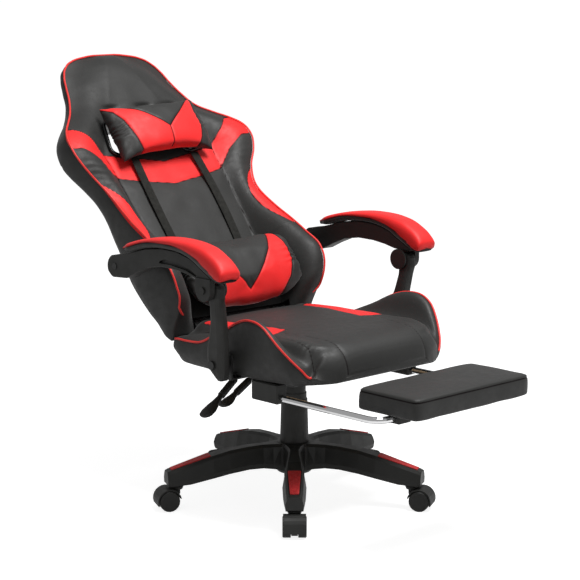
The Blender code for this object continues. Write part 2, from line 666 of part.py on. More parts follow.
def slot_outline(sign, grow, depth, corner_steps=4):
    """Points round a neck slot at a depth of the back, as (across, up)."""
    spread = SLOT_SPREAD * (SLOT_FRONT - depth) / SLOT_DEPTH
    wide, long = SLOT_HALF_WIDTH + spread - SLOT_CORNER, SLOT_HALF_LENGTH + spread - SLOT_CORNER
    points = []
    for start, centre in ((0, (wide, long)), (90, (-wide, long)), (180, (-wide, -long)), (270, (wide, -long))):
        points += arc(centre, SLOT_CORNER + grow, start, start + 90, corner_steps)
    turn = Matrix.Rotation(SLOT_TILT * sign, 2)
    places = [turn @ Vector(p) for p in points]
    return [(sign * (SLOT_X - spread) + p.x, SLOT_UP + spread * 0.8 + p.y) for p in places]


def slot_prism(name, sign, grow, front, rear, collection=None):
    rings = [[on_back(x, up, depth) for x, up in slot_outline(sign, grow, depth)] for depth in (front, rear)]
    return loft(name, rings, collection)


FRAME_RADIUS = 0.010
FRAME_FRONT = -0.024        # middle of the frame tube, behind the recline axis
FRAME_TOP = 0.700


def frame_path(tail):
    """Centre line of the back frame: an arch, narrow at the top, with its feet towards the recline axis."""
    right = [(RAIL_X, tail, FRAME_FRONT * (1 + (tail - 0.050) / 0.060)), (RAIL_X, 0.050, FRAME_FRONT),
             (0.172, 0.14, FRAME_FRONT), (0.181, 0.40, FRAME_FRONT), (0.184, 0.60, FRAME_FRONT),
             (0.172, 0.64, FRAME_FRONT), (0.130, 0.682, FRAME_FRONT), (0.100, FRAME_TOP - 0.004, FRAME_FRONT),
             (0.075, FRAME_TOP, FRAME_FRONT)]
    return [on_back(x, up, front) for x, up, front in right + [(-x, up, f) for x, up, f in reversed(right)]]


def build_back():
    cushion = loft("back_cushion", [back_ring(s) for s in BACK_STATIONS])
    cut(cushion, tube("frame_channel", frame_path(-0.06), FRAME_RADIUS + 0.0008, 2, CUTTERS))
    reach, top = RAIL_X + 0.018, HINGE_NOTCH_TOP
    corners = ((-reach, -0.06), (reach, -0.06), (reach, top), (-reach, top))
    notch = [[on_back(x, up, front) for x, up in corners]
             for front in (-0.10, 0.15)]
    cut(cushion, loft("notch", notch, CUTTERS))
    for side, sign in SIDES:
        cut(cushion, slot_prism("slot", sign, BEZEL_WALL + GAP, 0.06, -0.10, CUTTERS))
    dress(cushion, "black_leather", RECLINE)
    build_frame()
    for side, sign in SIDES:
        build_bezel(side, sign)
        build_arm_bracket(side, sign)
        build_strap(side, sign)
    build_pillow()
    build_lumbar()


def build_frame():
    frame = tube("back_frame", frame_path(0.012), FRAME_RADIUS, 2)
    for side, sign in SIDES:
        x_low, x_high = sorted((sign * (RAIL_X - 0.0095), sign * (RAIL_X + 0.0095)))
        eye = rod("eye", 0.0165, (x_low, RECLINE_Y, RECLINE_Z), (x_high, RECLINE_Y, RECLINE_Z), 20, CUTTERS)
        join(frame, eye)
    cut(frame, rod("hole", 0.006 + GAP, (-0.2, RECLINE_Y, RECLINE_Z), (0.2, RECLINE_Y, RECLINE_Z), 16, CUTTERS))
    dress(frame, "black_steel", RECLINE)


def build_bezel(side, sign):
    """Moulded liner of a neck slot."""
    bezel = slot_prism(f"neck_bezel_{side}", sign, BEZEL_WALL, SLOT_FRONT, SLOT_FRONT - SLOT_DEPTH)
    cut(bezel, slot_prism("opening", sign, 0, 0.06, -0.10, CUTTERS))
    dress(bezel, "black_plastic", RECLINE)


def build_arm_bracket(side, sign):
    """Round flange on the back's side with the pin that the armrest's rear end turns on."""
    y, z = ARM_REAR
    flange = rod(f"arm_bracket_{side}", 0.0200, (0.2512 * sign, y, z), (0.2570 * sign, y, z), 20)
    pin = rod("pin", 0.008, (0.2560 * sign, y, z), (0.3485 * sign, y, z), collection=CUTTERS)
    spacer = rod("spacer", 0.0125, (0.2560 * sign, y, z), (0.3070 * sign, y, z), 20, CUTTERS)
    join(flange, spacer, pin)
    dress(flange, "black_steel", RECLINE)


def soft_block(name, centre, half, pinch=0.0, bend=0.0):
    """A cushion about a place on the back, with half sizes across, up and front.

    Its waist is pulled in by pinch and its ends are brought forward by bend."""
    rings = []
    for share, size in ((-1.0, 0.55), (-0.93, 0.82), (-0.7, 0.98), (-0.35, 1.0 - pinch * 0.6), (0, 1.0 - pinch),
                        (0.35, 1.0 - pinch * 0.6), (0.7, 0.98), (0.93, 0.82), (1.0, 0.55)):
        ring = []
        for k in range(12):
            angle = 2 * pi * (k + 0.5) / 12
            up = centre[1] + half[1] * size * max(-0.95, min(0.95, 1.12 * sin(angle)))
            plump = half[2] * (0.55 + 0.45 * size)
            front = centre[2] + bend * share**2 + plump * max(-0.9, min(0.95, 1.1 * cos(angle)))
            ring.append(on_back(centre[0] + half[0] * share, up, front))
        rings.append(ring)
    return loft(name, rings)


def build_pillow():
    dress(soft_block("head_pillow", (0, 0.547, 0.0475), (0.158, 0.074, 0.0295), 0.06, -0.005), "red_leather", RECLINE)


def build_lumbar():
    dress(soft_block("lumbar_cushion", (0, 0.103, 0.0605), (0.180, 0.078, 0.038), bend=0.024), "red_leather", RECLINE)


STRAP_X = 0.085


def build_strap(side, sign):
    """Elastic strap that ties the head pillow to the lumbar cushion, on the back's front."""
    half = 0.010
    rings = []
    for up, front in ((0.188, 0.019), (0.300, 0.0185), (0.400, 0.0170), (0.466, 0.0145)):
        ring = [on_back(sign * STRAP_X + x, up, front + t) for x, t in ((-half, 0), (half, 0), (half, 0.0018),
                                                                        (-half, 0.0018))]
        rings.append(ring)
    dress(loft(f"pillow_strap_{side}", rings), "webbing", RECLINE)


# ---- armrests ----------------------------------------------------------------------------------------
PAD_TOP_LINE = ((-0.1340, 0.6070), (-0.1330, 0.6200), (-0.1210, 0.6350), (-0.1020, 0.6490), (-0.0660, 0.6650),
                (-0.0180, 0.6735), (0.0400, 0.6755), (0.0950, 0.6715), (0.1500, 0.6635), (0.2000, 0.6500),
                (0.2300, 0.6370))
PAD_LOW_LINE = ((-0.1320, 0.5965), (-0.1260, 0.5925), (-0.1130, 0.5920), (-0.0950, 0.5975), (-0.0620, 0.6140),
                (-0.0200, 0.6370), (0.0300, 0.6485), (0.0850, 0.6500), (0.1420, 0.6430), (0.1950, 0.6290),
                (0.2270, 0.6260))
PAD_HALF = 0.0300
BEAM_HALF = 0.0190


def build_arm_pad(side, sign, axis):
    """Padded top of an armrest: rings from its front tip to its rear."""
    rings = []
    last = len(PAD_TOP_LINE) - 1
    for i, (top, low) in enumerate(zip(PAD_TOP_LINE, PAD_LOW_LINE)):
        half = PAD_HALF * (0.62 if i in (0, last) else 0.90 if i in (1, last - 1) else 1.0)
        top, low = Vector((0, *top)), Vector((0, *low))
        rise = top - low
        middle = Vector((sign * ARM_X, 0, 0))
        ring = [middle + Vector((half * x, 0, 0)) + low + rise * share
                for x, share in ((-0.92, 0), (0.92, 0), (1.0, 0.18), (1.0, 0.52), (0.82, 0.84), (0.42, 0.97),
                                 (0, 1.0), (-0.42, 0.97), (-0.82, 0.84), (-1.0, 0.52), (-1.0, 0.18))]
        rings.append(ring)
    dress(loft(f"arm_pad_{side}", rings), "red_leather", axis)


def build_arm_beam(side, sign, axis):
    """Arched plastic beam under the pad, with an eye at the rear and a knuckle ear on its outer face."""
    top = [(y, z - 0.0006) for y, z in PAD_LOW_LINE[3:10]]
    rear = arc(ARM_REAR, 0.028, 65, -75, 9)
    low = [(0.215, 0.564), (0.180, 0.581), (0.135, 0.599), (0.085, 0.607), (0.034, 0.606), (-0.005, 0.601),
           (-0.040, 0.5935), (-0.088, 0.5915)]
    x_low, x_high = sorted((sign * (ARM_X - BEAM_HALF), sign * (ARM_X + BEAM_HALF)))
    beam = slab(f"arm_beam_{side}", top + [(0.222, 0.6215)] + rear + low, x_low, x_high, 0.003)
    hollow = [(0.0930, 0.6145), (0.0900, 0.6205), (0.0710, 0.6260), (0.0250, 0.6235), (-0.0170, 0.6125),
              (-0.0400, 0.6010), (-0.0360, 0.5985), (0.0000, 0.6090), (0.0530, 0.6150)]
    h_low, h_high = sorted((sign * (ARM_X + BEAM_HALF - 0.0060), sign * (ARM_X + BEAM_HALF + 0.01)))
    cut(beam, slab("hollow", hollow, h_low, h_high, collection=CUTTERS))
    y, z = ARM_KNUCKLE
    ear_outline = arc(ARM_KNUCKLE, KNUCKLE_RADIUS, 180, 360, 16)
    ear_outline += [(y + KNUCKLE_RADIUS, z + 0.028), (y - KNUCKLE_RADIUS, z + 0.028)]
    e_low, e_high = sorted((sign * (ARM_X + 0.0065), sign * (ARM_X + BEAM_HALF + 0.003)))
    join(beam, slab("ear", ear_outline, e_low, e_high, 0.0015, CUTTERS))
    cut(beam, rod("rear_hole", 0.008 + GAP, (sign * 0.2, *ARM_REAR), (sign * (ARM_X + 0.0208), *ARM_REAR), 20,
                  CUTTERS))
    cut(beam, rod("knuckle_hole", PIVOT_PIN_RADIUS + GAP, (sign * 0.25, y, z), (sign * 0.40, y, z), 16, CUTTERS))
    dress(beam, "black_plastic", axis)
    pin = rod(f"arm_pin_{side}", PIVOT_PIN_RADIUS, (sign * 0.2995, y, z), (sign * 0.3520, y, z))
    head = rod("head", 0.0085, (sign * (ARM_X + BEAM_HALF + 0.0033), y, z),
               (sign * (ARM_X + BEAM_HALF + 0.0065), y, z), 28, CUTTERS)
    tail = rod("tail", KNUCKLE_RADIUS, (sign * 0.2975, y, z), (sign * 0.3020, y, z), 32, CUTTERS)
    join(pin, head, tail)
    dress(pin, "black_plastic", axis)


# station: height, middle across, rear edge, front edge, half thickness
POST_STATIONS = (
    (0.3530, 0.2925, -0.059, -0.073, 0.0110),
    (0.3600, 0.2930, -0.053, -0.078, 0.0145),
    (0.3750, 0.2940, -0.036, -0.0795, 0.0165),
    (0.4050, 0.2955, -0.027, -0.0810, 0.0170),
    (0.4300, 0.2980, -0.030, -0.0840, 0.0170),
    (0.4560, 0.3020, -0.041, -0.0865, 0.0165),
    (0.4950, 0.3080, -0.0535, -0.0895, 0.0160),
    (0.5300, 0.3145, -0.0590, -0.0920, 0.0150),
    (0.5430, 0.3175, -0.0570, -0.0940, 0.0140),
    (0.5520, 0.3185, -0.0480, -0.0965, 0.0138),
    (0.5740, 0.3185, -0.0455, -0.0965, 0.0138),
    (0.5810, 0.3185, -0.0490, -0.0930, 0.0134),
    (0.5850, 0.3185, -0.0560, -0.0840, 0.0124),
)


def build_post(side, sign, axis):
    """Front post of an armrest: it leans outward, and has an eye at each end."""
    rings = []
    for z, x, rear, front, half in POST_STATIONS:
        turn = min(half * 0.72, (rear - front) * 0.30)
        ring = arc((half - turn, rear - turn), turn, 0, 90, 4) + arc((turn - half, rear - turn), turn, 90, 180, 4)
        ring += arc((turn - half, front + turn), turn, 180, 270, 4)
        ring += arc((half - turn, front + turn), turn, 270, 360, 4)
        rings.append([(sign * (x + dx), y, z) for dx, y in ring])
    post = loft(f"arm_post_{side}", rings)
    y, z = ARM_KNUCKLE
    cut(post, rod("top_hole", PIVOT_PIN_RADIUS + KNUCKLE_PLAY, (sign * 0.25, y, z), (sign * 0.40, y, z), 24, CUTTERS))
    y, z = POST_FOOT
    cut(post, rod("low_hole", PIVOT_PIN_RADIUS + GAP, (sign * 0.25, y, z), (sign * 0.40, y, z), 16, CUTTERS))
    face = sign * 0.3122
    pocket = rod("pocket", 0.0115, (face, y, z), (face + sign * 0.02, y, z), 20, CUTTERS)
    cut(post, pocket)
    dress(post, "black_plastic", axis)


def build_armrests():
    for side, sign in SIDES:
        arm_axis = make_axis(f"armrest_{side}_axis", (sign * ARM_X, *ARM_REAR), ROOT)
        post_axis = make_axis(f"post_{side}_axis", (sign * 0.295, *POST_FOOT), ROOT)
        build_arm_pad(side, sign, arm_axis)
        build_arm_beam(side, sign, arm_axis)
        build_post(side, sign, post_axis)


# ---- footrest ----------------------------------------------------------------------------------------
def build_footrest():
    bend = [(FOOT_TUBE_X - FOOT_BEND + FOOT_BEND * cos(a), FOOT_BAR_Y + FOOT_BEND - FOOT_BEND * sin(a))
            for a in (i * pi / 2 / 6 for i in range(7))]
    right = [(FOOT_TUBE_X, FOOT_TAIL_Y)] + bend
    path = right + [(-x, y) for x, y in reversed(right)]
    dress(tube("footrest_tube", [(x, y, FOOT_TUBE_Z) for x, y in path], FOOT_TUBE_RADIUS, 3), "chrome", FOOT_SLIDE)
    half = PAD_WIDTH / 2
    low = Vector((-half + 0.014, PAD_FRONT_Y + 0.014, PAD_BOTTOM))
    high = Vector((half - 0.014, PAD_REAR_Y - 0.014, PAD_BOTTOM + PAD_BOARD))
    margin = Vector((0.0005, 0.0005, 0))
    pad = box("footrest_pad", (-half, PAD_FRONT_Y, PAD_BOTTOM), (half, PAD_REAR_Y, PAD_TOP), 0.009, 2)
    cut(pad, box("recess", low - margin - Vector((0, 0, 0.02)), high + margin + Vector((0, 0, GAP)),
                 collection=CUTTERS))
    dress(pad, "black_leather", FOOT_FLIP)
    dress(box("footrest_board", low, high, 0.0015), "black_plastic", FOOT_FLIP)
    for side, sign in SIDES:
        x_low, x_high = sorted((sign * 0.130, sign * 0.170))
        top = PAD_BOTTOM - GAP
        clamp = box(f"footrest_clamp_{side}", (x_low, FOOT_BAR_Y - 0.017, FOOT_TUBE_Z - 0.0125),
                    (x_high, FOOT_BAR_Y + 0.017, top), 0.002)
        cut(clamp, rod("bore", FOOT_TUBE_RADIUS + GAP, (0, FOOT_BAR_Y, FOOT_TUBE_Z),
                       (sign * 0.2, FOOT_BAR_Y, FOOT_TUBE_Z), 24, CUTTERS))
        dress(clamp, "black_plastic", FOOT_FLIP)


build_base()
build_casters()
build_lift()
build_mechanism()
for lever in LEVERS:
    build_lever(*lever)
build_seat()
build_back()
build_armrests()
build_footrest()
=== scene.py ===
"""Looks of the gaming chair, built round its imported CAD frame.

Metres, in the frame's own axes: +Z up, the sitter looks along -Y. Places on the leaning back are given
from the recline axis as (across, up along the back, out of its front). Upholstery is made as dense closed
skins whose colour fields are signed distances stored on the vertices: above zero is the red leather.
"""
import json
from math import cos, pi, radians, sin

import bmesh
import bpy
import numpy as np
from mathutils import Matrix, Vector, noise

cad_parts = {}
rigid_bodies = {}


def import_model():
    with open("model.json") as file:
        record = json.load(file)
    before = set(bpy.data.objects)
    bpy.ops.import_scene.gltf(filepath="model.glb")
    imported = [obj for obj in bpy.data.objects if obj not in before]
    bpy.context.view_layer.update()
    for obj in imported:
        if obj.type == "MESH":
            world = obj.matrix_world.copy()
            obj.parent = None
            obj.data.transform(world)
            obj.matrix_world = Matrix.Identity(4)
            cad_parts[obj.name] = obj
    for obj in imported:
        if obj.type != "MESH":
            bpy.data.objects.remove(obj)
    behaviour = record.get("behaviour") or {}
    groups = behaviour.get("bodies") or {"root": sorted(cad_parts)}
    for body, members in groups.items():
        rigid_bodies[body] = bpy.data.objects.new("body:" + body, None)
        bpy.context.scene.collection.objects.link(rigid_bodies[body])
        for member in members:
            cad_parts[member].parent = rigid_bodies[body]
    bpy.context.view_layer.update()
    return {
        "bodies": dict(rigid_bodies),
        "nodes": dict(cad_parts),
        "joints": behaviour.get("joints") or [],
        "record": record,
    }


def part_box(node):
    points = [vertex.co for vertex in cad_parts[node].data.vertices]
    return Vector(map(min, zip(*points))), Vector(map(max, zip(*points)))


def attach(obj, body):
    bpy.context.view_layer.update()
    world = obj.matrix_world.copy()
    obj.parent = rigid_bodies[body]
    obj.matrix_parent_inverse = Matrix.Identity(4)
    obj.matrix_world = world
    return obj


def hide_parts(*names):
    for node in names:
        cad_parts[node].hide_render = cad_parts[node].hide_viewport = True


# ---- driving dimensions, the same as the CAD's ---------------------------------------------------
COLUMN_Y = -0.0759
RECLINE = np.array((0, 0.200 + COLUMN_Y, 0.420))
BACK_ANGLE = radians(38)
ACROSS = np.array((1, 0, 0))
UP = np.array((0, sin(BACK_ANGLE), cos(BACK_ANGLE)))
FRONT = np.array((0, -cos(BACK_ANGLE), sin(BACK_ANGLE)))

SHOWN, SIDE, HIDDEN = 0, 1, 2   # which face of a cushion a point of its skin is on
FAR = 1.0                       # stands for no seam near
NOT_RED = -0.01

PIPING = 0.0026             # radius of the piping
SEAM_WIDTH = 0.0036         # reach of a seam's groove
SEAM_DEPTH = 0.0014

CAMERA_PLACE = (-3.1275, -3.2473 + COLUMN_Y, 1.3278)
CAMERA_TURN = (radians(79.847), 0, radians(-43.79))
CAMERA_LENS = 117.43
CAMERA_SENSOR = 36

KEY_PLACE = (0.3, -1.2, 3.5)
KEY_AIM = (0, 0, 0.6)
KEY_SIZE = 1.4
KEY_POWER = 128
SKY_STRENGTH = 0.36
FLOOR_REACH = 120

BLACK = (0.0160, 0.0160, 0.0150)
RED = (0.78, 0.012, 0.012)
# painted shade: the near-black colour given to the seam grooves
CREASE_SHADE = (0.004, 0.0015, 0.0015)


# ---- small maths ---------------------------------------------------------------------------------
def curve(table, at):
    """Reads every column of a table of stations at the given places, on a smooth curve through its rows."""
    table = np.array(table, float)
    x, y = table[:, 0], table[:, 1:]
    steps = np.diff(x)[:, None]
    slopes = np.diff(y, axis=0) / steps
    inner = (slopes[:-1] * steps[1:] + slopes[1:] * steps[:-1]) / (steps[:-1] + steps[1:])
    flat = slopes[:-1] * slopes[1:] <= 0
    inner = np.where(flat, inner * 0.35, inner)
    tangents = np.vstack([slopes[:1], inner, slopes[-1:]])
    at = np.clip(np.atleast_1d(at), x[0], x[-1])
    i = np.clip(np.searchsorted(x, at, side="right") - 1, 0, len(x) - 2)
    h = (x[i + 1] - x[i])[:, None]
    t = ((at - x[i])[:, None]) / h
    return ((2 * t**3 - 3 * t**2 + 1) * y[i] + (t**3 - 2 * t**2 + t) * h * tangents[i]
            + (-2 * t**3 + 3 * t**2) * y[i + 1] + (t**3 - t**2) * h * tangents[i + 1])


def line_distance(points, line):
    """Distance of 2-D points from a line of straight stretches."""
    best = np.full(len(points), 1e9)
    for a, b in zip(np.array(line[:-1], float), np.array(line[1:], float)):
        along = b - a
        share = np.clip(((points - a) @ along) / max(along @ along, 1e-12), 0, 1)
        best = np.minimum(best, np.linalg.norm(points - a - share[:, None] * along, axis=1))
    return best


def inside(points, outline):
    """Signed distance of 2-D points from a closed outline, above zero inside."""
    ring = list(outline) + [outline[0]]
    crossings = np.zeros(len(points), bool)
    for (ax, ay), (bx, by) in zip(ring[:-1], ring[1:]):
        if ay == by:
            continue
        spans = (points[:, 1] > min(ay, by)) & (points[:, 1] <= max(ay, by))
        crossings ^= spans & (points[:, 0] < ax + (points[:, 1] - ay) * (bx - ax) / (by - ay))
    distance = line_distance(points, ring)
    return np.where(crossings, distance, -distance)


def ease(t):
    """Rises smoothly from 0 to 1 as t does."""
    t = np.clip(t, 0, 1)
    return t * t * (3 - 2 * t)


def bump_at(distance, width):
    """1 where the distance is 0, falling off over the width."""
    return np.exp(-(distance / width) ** 2)


def mirrored(points):
    """2-D points, those on the sitter's right moved to the left."""
    return np.column_stack([np.abs(points[:, 0]), points[:, 1]])


def on_back(across, up, front):
    """Places on the leaning back, one for each across, up and front."""
    across, up, front = np.broadcast_arrays(across, up, front)
    return RECLINE + across[..., None] * ACROSS + up[..., None] * UP + front[..., None] * FRONT


def with_ends(rows):
    """Rows of 2-D points, then the middles of the first and last row, in the order of a skin's vertices."""
    return np.vstack([*rows, rows[0].mean(0)[None], rows[-1].mean(0)[None]])


def wrinkle(places, scale, seed):
    """Smooth noise about zero, from places in metres."""
    return np.array([noise.noise(Vector(p) / scale + Vector((seed, seed * 1.7, -seed))) for p in places])


# ---- materials -----------------------------------------------------------------------------------
class Finish:
    """A material's node tree, with short calls for its nodes and links."""

    def __init__(self, name, colour, roughness, metallic=0.0, specular=0.5):
        self.material = bpy.data.materials.new(name)
        self.material.use_nodes = True
        self.material.diffuse_color = (*colour, 1)
        self.tree = self.material.node_tree
        self.shader = self.tree.nodes["Principled BSDF"]
        self.set("Base Color", (*colour, 1))
        self.set("Roughness", roughness)
        self.set("Metallic", metallic)
        self.set("Specular IOR Level", specular)
        self.last_bump = None

    def set(self, socket, value):
        self.shader.inputs[socket].default_value = value

    def node(self, kind, **inputs):
        node = self.tree.nodes.new(kind)
        for socket, value in inputs.items():
            node.inputs[socket].default_value = value
        return node

    def link(self, out, into):
        self.tree.links.new(out, into)

    def coordinates(self):
        return self.node("ShaderNodeTexCoord").outputs["Object"]

    def noise(self, scale, detail):
        node = self.node("ShaderNodeTexNoise", Scale=scale, Detail=detail)
        self.link(self.coordinates(), node.inputs["Vector"])
        return node.outputs["Fac"]

    def cells(self, scale):
        node = self.node("ShaderNodeTexVoronoi", Scale=scale)
        self.link(self.coordinates(), node.inputs["Vector"])
        return node.outputs["Distance"]

    def field(self, name):
        node = self.node("ShaderNodeAttribute")
        node.attribute_name = name
        return node.outputs["Fac"]

    def ramp(self, value, low, high, to_low=0.0, to_high=1.0):
        node = self.node("ShaderNodeMapRange")
        node.clamp = True
        limits = {"From Min": low, "From Max": high, "To Min": to_low, "To Max": to_high}
        for socket, number in limits.items():
            node.inputs[socket].default_value = number
        self.link(value, node.inputs["Value"])
        return node.outputs["Result"]

    def mix(self, share, first, second):
        """Mixes two colours, each a tuple or an output."""
        node = self.node("ShaderNodeMix")
        node.data_type = "RGBA"
        for socket, value in ((node.inputs[6], first), (node.inputs[7], second)):
            if isinstance(value, tuple):
                socket.default_value = (*value, 1)
            else:
                self.link(value, socket)
        self.link(share, node.inputs[0])
        return node.outputs[2]

    def maths(self, operation, first, second):
        node = self.node("ShaderNodeMath")
        node.operation = operation
        for socket, value in zip(node.inputs, (first, second)):
            if isinstance(value, (int, float)):
                socket.default_value = value
            else:
                self.link(value, socket)
        return node.outputs[0]

    def bump(self, height, strength, distance):
        node = self.node("ShaderNodeBump", Strength=strength, Distance=distance)
        self.link(height, node.inputs["Height"])
        if self.last_bump:
            self.link(self.last_bump, node.inputs["Normal"])
        self.last_bump = node.outputs["Normal"]
        self.link(self.last_bump, self.shader.inputs["Normal"])


def leather(name, red=None, perforated=False):
    """Grained leather, with painted shade in its seam grooves. With red it is two leathers, divided where the
    vertices' field crosses zero.
    """
    look = Finish(name, BLACK, 0.52)
    wear = look.ramp(look.noise(7, 4), 0.35, 0.7)
    colour = look.mix(wear, BLACK, tuple(c * 1.25 for c in BLACK))
    if red:
        red_worn = look.mix(wear, red, tuple(min(1, c * 1.12) for c in red))
        is_red = look.ramp(look.field("red"), -0.0003, 0.0003)
        colour = look.mix(is_red, colour, red_worn)
    # painted shade in the seam grooves: coloured near black and with the specular cut down, as if no light
    # reached them
    crease_shade_mask = look.ramp(look.field("seam"), 0.0004, 0.0026)
    colour = look.mix(crease_shade_mask, CREASE_SHADE, colour)
    look.link(look.ramp(crease_shade_mask, 0, 1, 0.02, 0.42), look.shader.inputs["Specular IOR Level"])
    look.link(colour, look.shader.inputs["Base Color"])
    look.link(look.ramp(look.noise(60, 3), 0.3, 0.7, 0.48, 0.60), look.shader.inputs["Roughness"])
    look.set("Sheen Weight", 0.10)
    look.set("Sheen Roughness", 0.45)
    look.bump(look.cells(900), 0.22, 0.0006)
    look.bump(look.noise(260, 4), 0.16, 0.0010)
    if perforated:
        hole = look.ramp(look.cells(230), 0.10, 0.22)
        zone = look.ramp(look.field("holes"), 0.0, 0.004)
        look.bump(look.maths("MAXIMUM", hole, look.maths("SUBTRACT", 1.0, zone)), 0.5, 0.0008)
    return look.material


def moulded(name, colour=(0.0230, 0.0230, 0.0215), roughness=0.5, grain=700, strength=0.16):
    """Moulded plastic with a fine spark texture and slight rubbing."""
    look = Finish(name, colour, roughness, specular=0.34)
    worn = look.mix(look.ramp(look.noise(9, 4), 0.4, 0.72), colour, tuple(c * 1.3 for c in colour))
    look.link(worn, look.shader.inputs["Base Color"])
    look.link(look.ramp(look.noise(35, 4), 0.3, 0.7, roughness - 0.07, roughness + 0.07),
              look.shader.inputs["Roughness"])
    look.bump(look.noise(grain, 2), strength, 0.0006)
    return look.material


def ribbed_red():
    """Red moulded foot tread, with a fine diamond grip."""
    look = Finish("tread_red", (0.62, 0.022, 0.024), 0.55)
    look.bump(look.cells(420), 0.6, 0.0015)
    rubbed = look.ramp(look.noise(60, 4), 0.4, 0.7)
    worn = look.mix(rubbed, (0.50, 0.012, 0.014), (0.66, 0.030, 0.030))
    look.link(worn, look.shader.inputs["Base Color"])
    return look.material


def metal(name, colour, roughness, streaks=0.0, metallic=1.0):
    look = Finish(name, colour, roughness, metallic)
    look.link(look.ramp(look.noise(45, 5), 0.3, 0.7, max(0.02, roughness - 0.05), roughness + 0.06),
              look.shader.inputs["Roughness"])
    if streaks:
        look.bump(look.noise(500, 2), streaks, 0.0004)
    return look.material


def wood(name):
    look = Finish(name, (0.42, 0.29, 0.16), 0.7)
    rings = look.node("ShaderNodeTexWave", Scale=9, Distortion=6, Detail=3)
    look.link(look.coordinates(), rings.inputs["Vector"])
    look.link(look.mix(rings.outputs["Fac"], (0.36, 0.23, 0.12), (0.52, 0.38, 0.23)),
              look.shader.inputs["Base Color"])
    look.bump(look.noise(180, 4), 0.3, 0.001)
    return look.material


def webbing(name):
    """Woven elastic: fine parallel waves."""
    look = Finish(name, (0.016, 0.016, 0.014), 0.75, specular=0.2)
    weave = look.node("ShaderNodeTexWave", Scale=260, Distortion=0.4)
    weave.bands_direction = "X"
    look.link(look.coordinates(), weave.inputs["Vector"])
    look.bump(weave.outputs["Fac"], 0.6, 0.0008)
    rubbed = look.ramp(look.noise(90, 4), 0.35, 0.7)
    worn = look.mix(rubbed, (0.014, 0.014, 0.012), (0.024, 0.024, 0.021))
    look.link(worn, look.shader.inputs["Base Color"])
    return look.material


def make_finishes():
    return {
        "upholstery": leather("leather_two_tone", red=RED, perforated=True),
        "leather_black": leather("leather_black"),
        "piping": moulded("piping_red", (0.72, 0.035, 0.03), 0.42, 500, 0.1),
        "plastic": moulded("plastic_black"),
        "plastic_gloss": moulded("plastic_gloss", (0.006, 0.006, 0.006), 0.14, 300, 0.03),
        "base": moulded("plastic_base", (0.0170, 0.0170, 0.0155), 0.42, 600, 0.12),
        "wheel": moulded("plastic_wheel", (0.020, 0.020, 0.0185), 0.46, 650, 0.12),
        "tread": ribbed_red(),
        "steel_black": metal("steel_black", (0.03, 0.03, 0.03), 0.42, 0.15, 0.3),
        "steel_bright": metal("steel_bright", (0.58, 0.58, 0.60), 0.25, 0.1),
        "chrome": metal("chrome", (0.86, 0.86, 0.87), 0.09),
        "wood": wood("plywood"),
        "webbing": webbing("webbing"),
    }


# ---- mesh helpers --------------------------------------------------------------------------------
def link_object(name, data):
    obj = bpy.data.objects.new(name, data)
    bpy.context.scene.collection.objects.link(obj)
    return obj


def new_piece(name, places, faces, finish, smooth=True):
    mesh = bpy.data.meshes.new(name)
    mesh.from_pydata([tuple(p) for p in places], [], faces)
    mesh.update()
    obj = link_object(name, mesh)
    obj.data.materials.append(finish)
    repair = bmesh.new()
    repair.from_mesh(mesh)
    bmesh.ops.recalc_face_normals(repair, faces=repair.faces)
    repair.to_mesh(mesh)
    repair.free()
    if smooth:
        mesh.shade_smooth()
    return obj


def set_field(obj, name, values):
    field = obj.data.attributes.get(name) or obj.data.attributes.new(name, "FLOAT", "POINT")
    field.data.foreach_set("value", np.asarray(values, np.float32))


def ring_faces(count_rows, count, closed=False):
    """Faces between neighbouring rings of points, and from the last ring to the first when closed."""
    faces = []
    for r in range(count_rows if closed else count_rows - 1):
        here, there = r * count, (r + 1) % count_rows * count
        for i in range(count):
            j = (i + 1) % count
            faces.append((here + i, here + j, there + j, there + i))
    return faces


def skin(name, rows, finish):
    """A closed skin over rows of points, shape (rows, points, 3), closed round each row and at both ends."""
    count_rows, count, _ = rows.shape
    places = [*rows.reshape(-1, 3)]
    faces = ring_faces(count_rows, count)
    for r in (0, count_rows - 1):
        centre = len(places)
        places.append(rows[r].mean(0))
        for i in range(count):
            faces.append((r * count + i, r * count + (i + 1) % count, centre))
    return new_piece(name, places, faces, finish)


def places_of(obj):
    out = np.empty(len(obj.data.vertices) * 3)
    obj.data.vertices.foreach_get("co", out)
    return out.reshape(-1, 3)


def normals_of(obj):
    out = np.empty(len(obj.data.vertices) * 3)
    obj.data.vertices.foreach_get("normal", out)
    return out.reshape(-1, 3)


def put(obj, places):
    obj.data.vertices.foreach_set("co", places.ravel())
    obj.data.update()


def move(obj, shift):
    """Moves every vertex along its normal."""
    put(obj, places_of(obj) + normals_of(obj) * np.asarray(shift)[:, None])


def as_mesh(obj):
    """An object with its modifiers or curve turned into plain mesh."""
    bpy.context.view_layer.update()
    graph = bpy.context.evaluated_depsgraph_get()
    mesh = bpy.data.meshes.new_from_object(obj.evaluated_get(graph), preserve_all_data_layers=True,
                                           depsgraph=graph)
    if obj.type == "MESH":
        obj.modifiers.clear()
        obj.data = mesh
        return obj
    name = obj.name
    made = link_object(name, mesh)
    bpy.data.objects.remove(obj, do_unlink=True)
    made.name = name
    return made


def piping(name, points, finish):
    """A round piping along points."""
    line = bpy.data.curves.new(name, "CURVE")
    line.dimensions = "3D"
    line.bevel_depth = PIPING
    line.bevel_resolution = 3
    line.use_fill_caps = True
    spline = line.splines.new("POLY")
    spline.points.add(len(points) - 1)
    for knot, point in zip(spline.points, points):
        knot.co = (*point, 1)
    obj = as_mesh(link_object(name, line))
    weld(obj, 0.00005)
    obj.data.materials.clear()
    obj.data.materials.append(finish)
    obj.data.shade_smooth()
    return obj


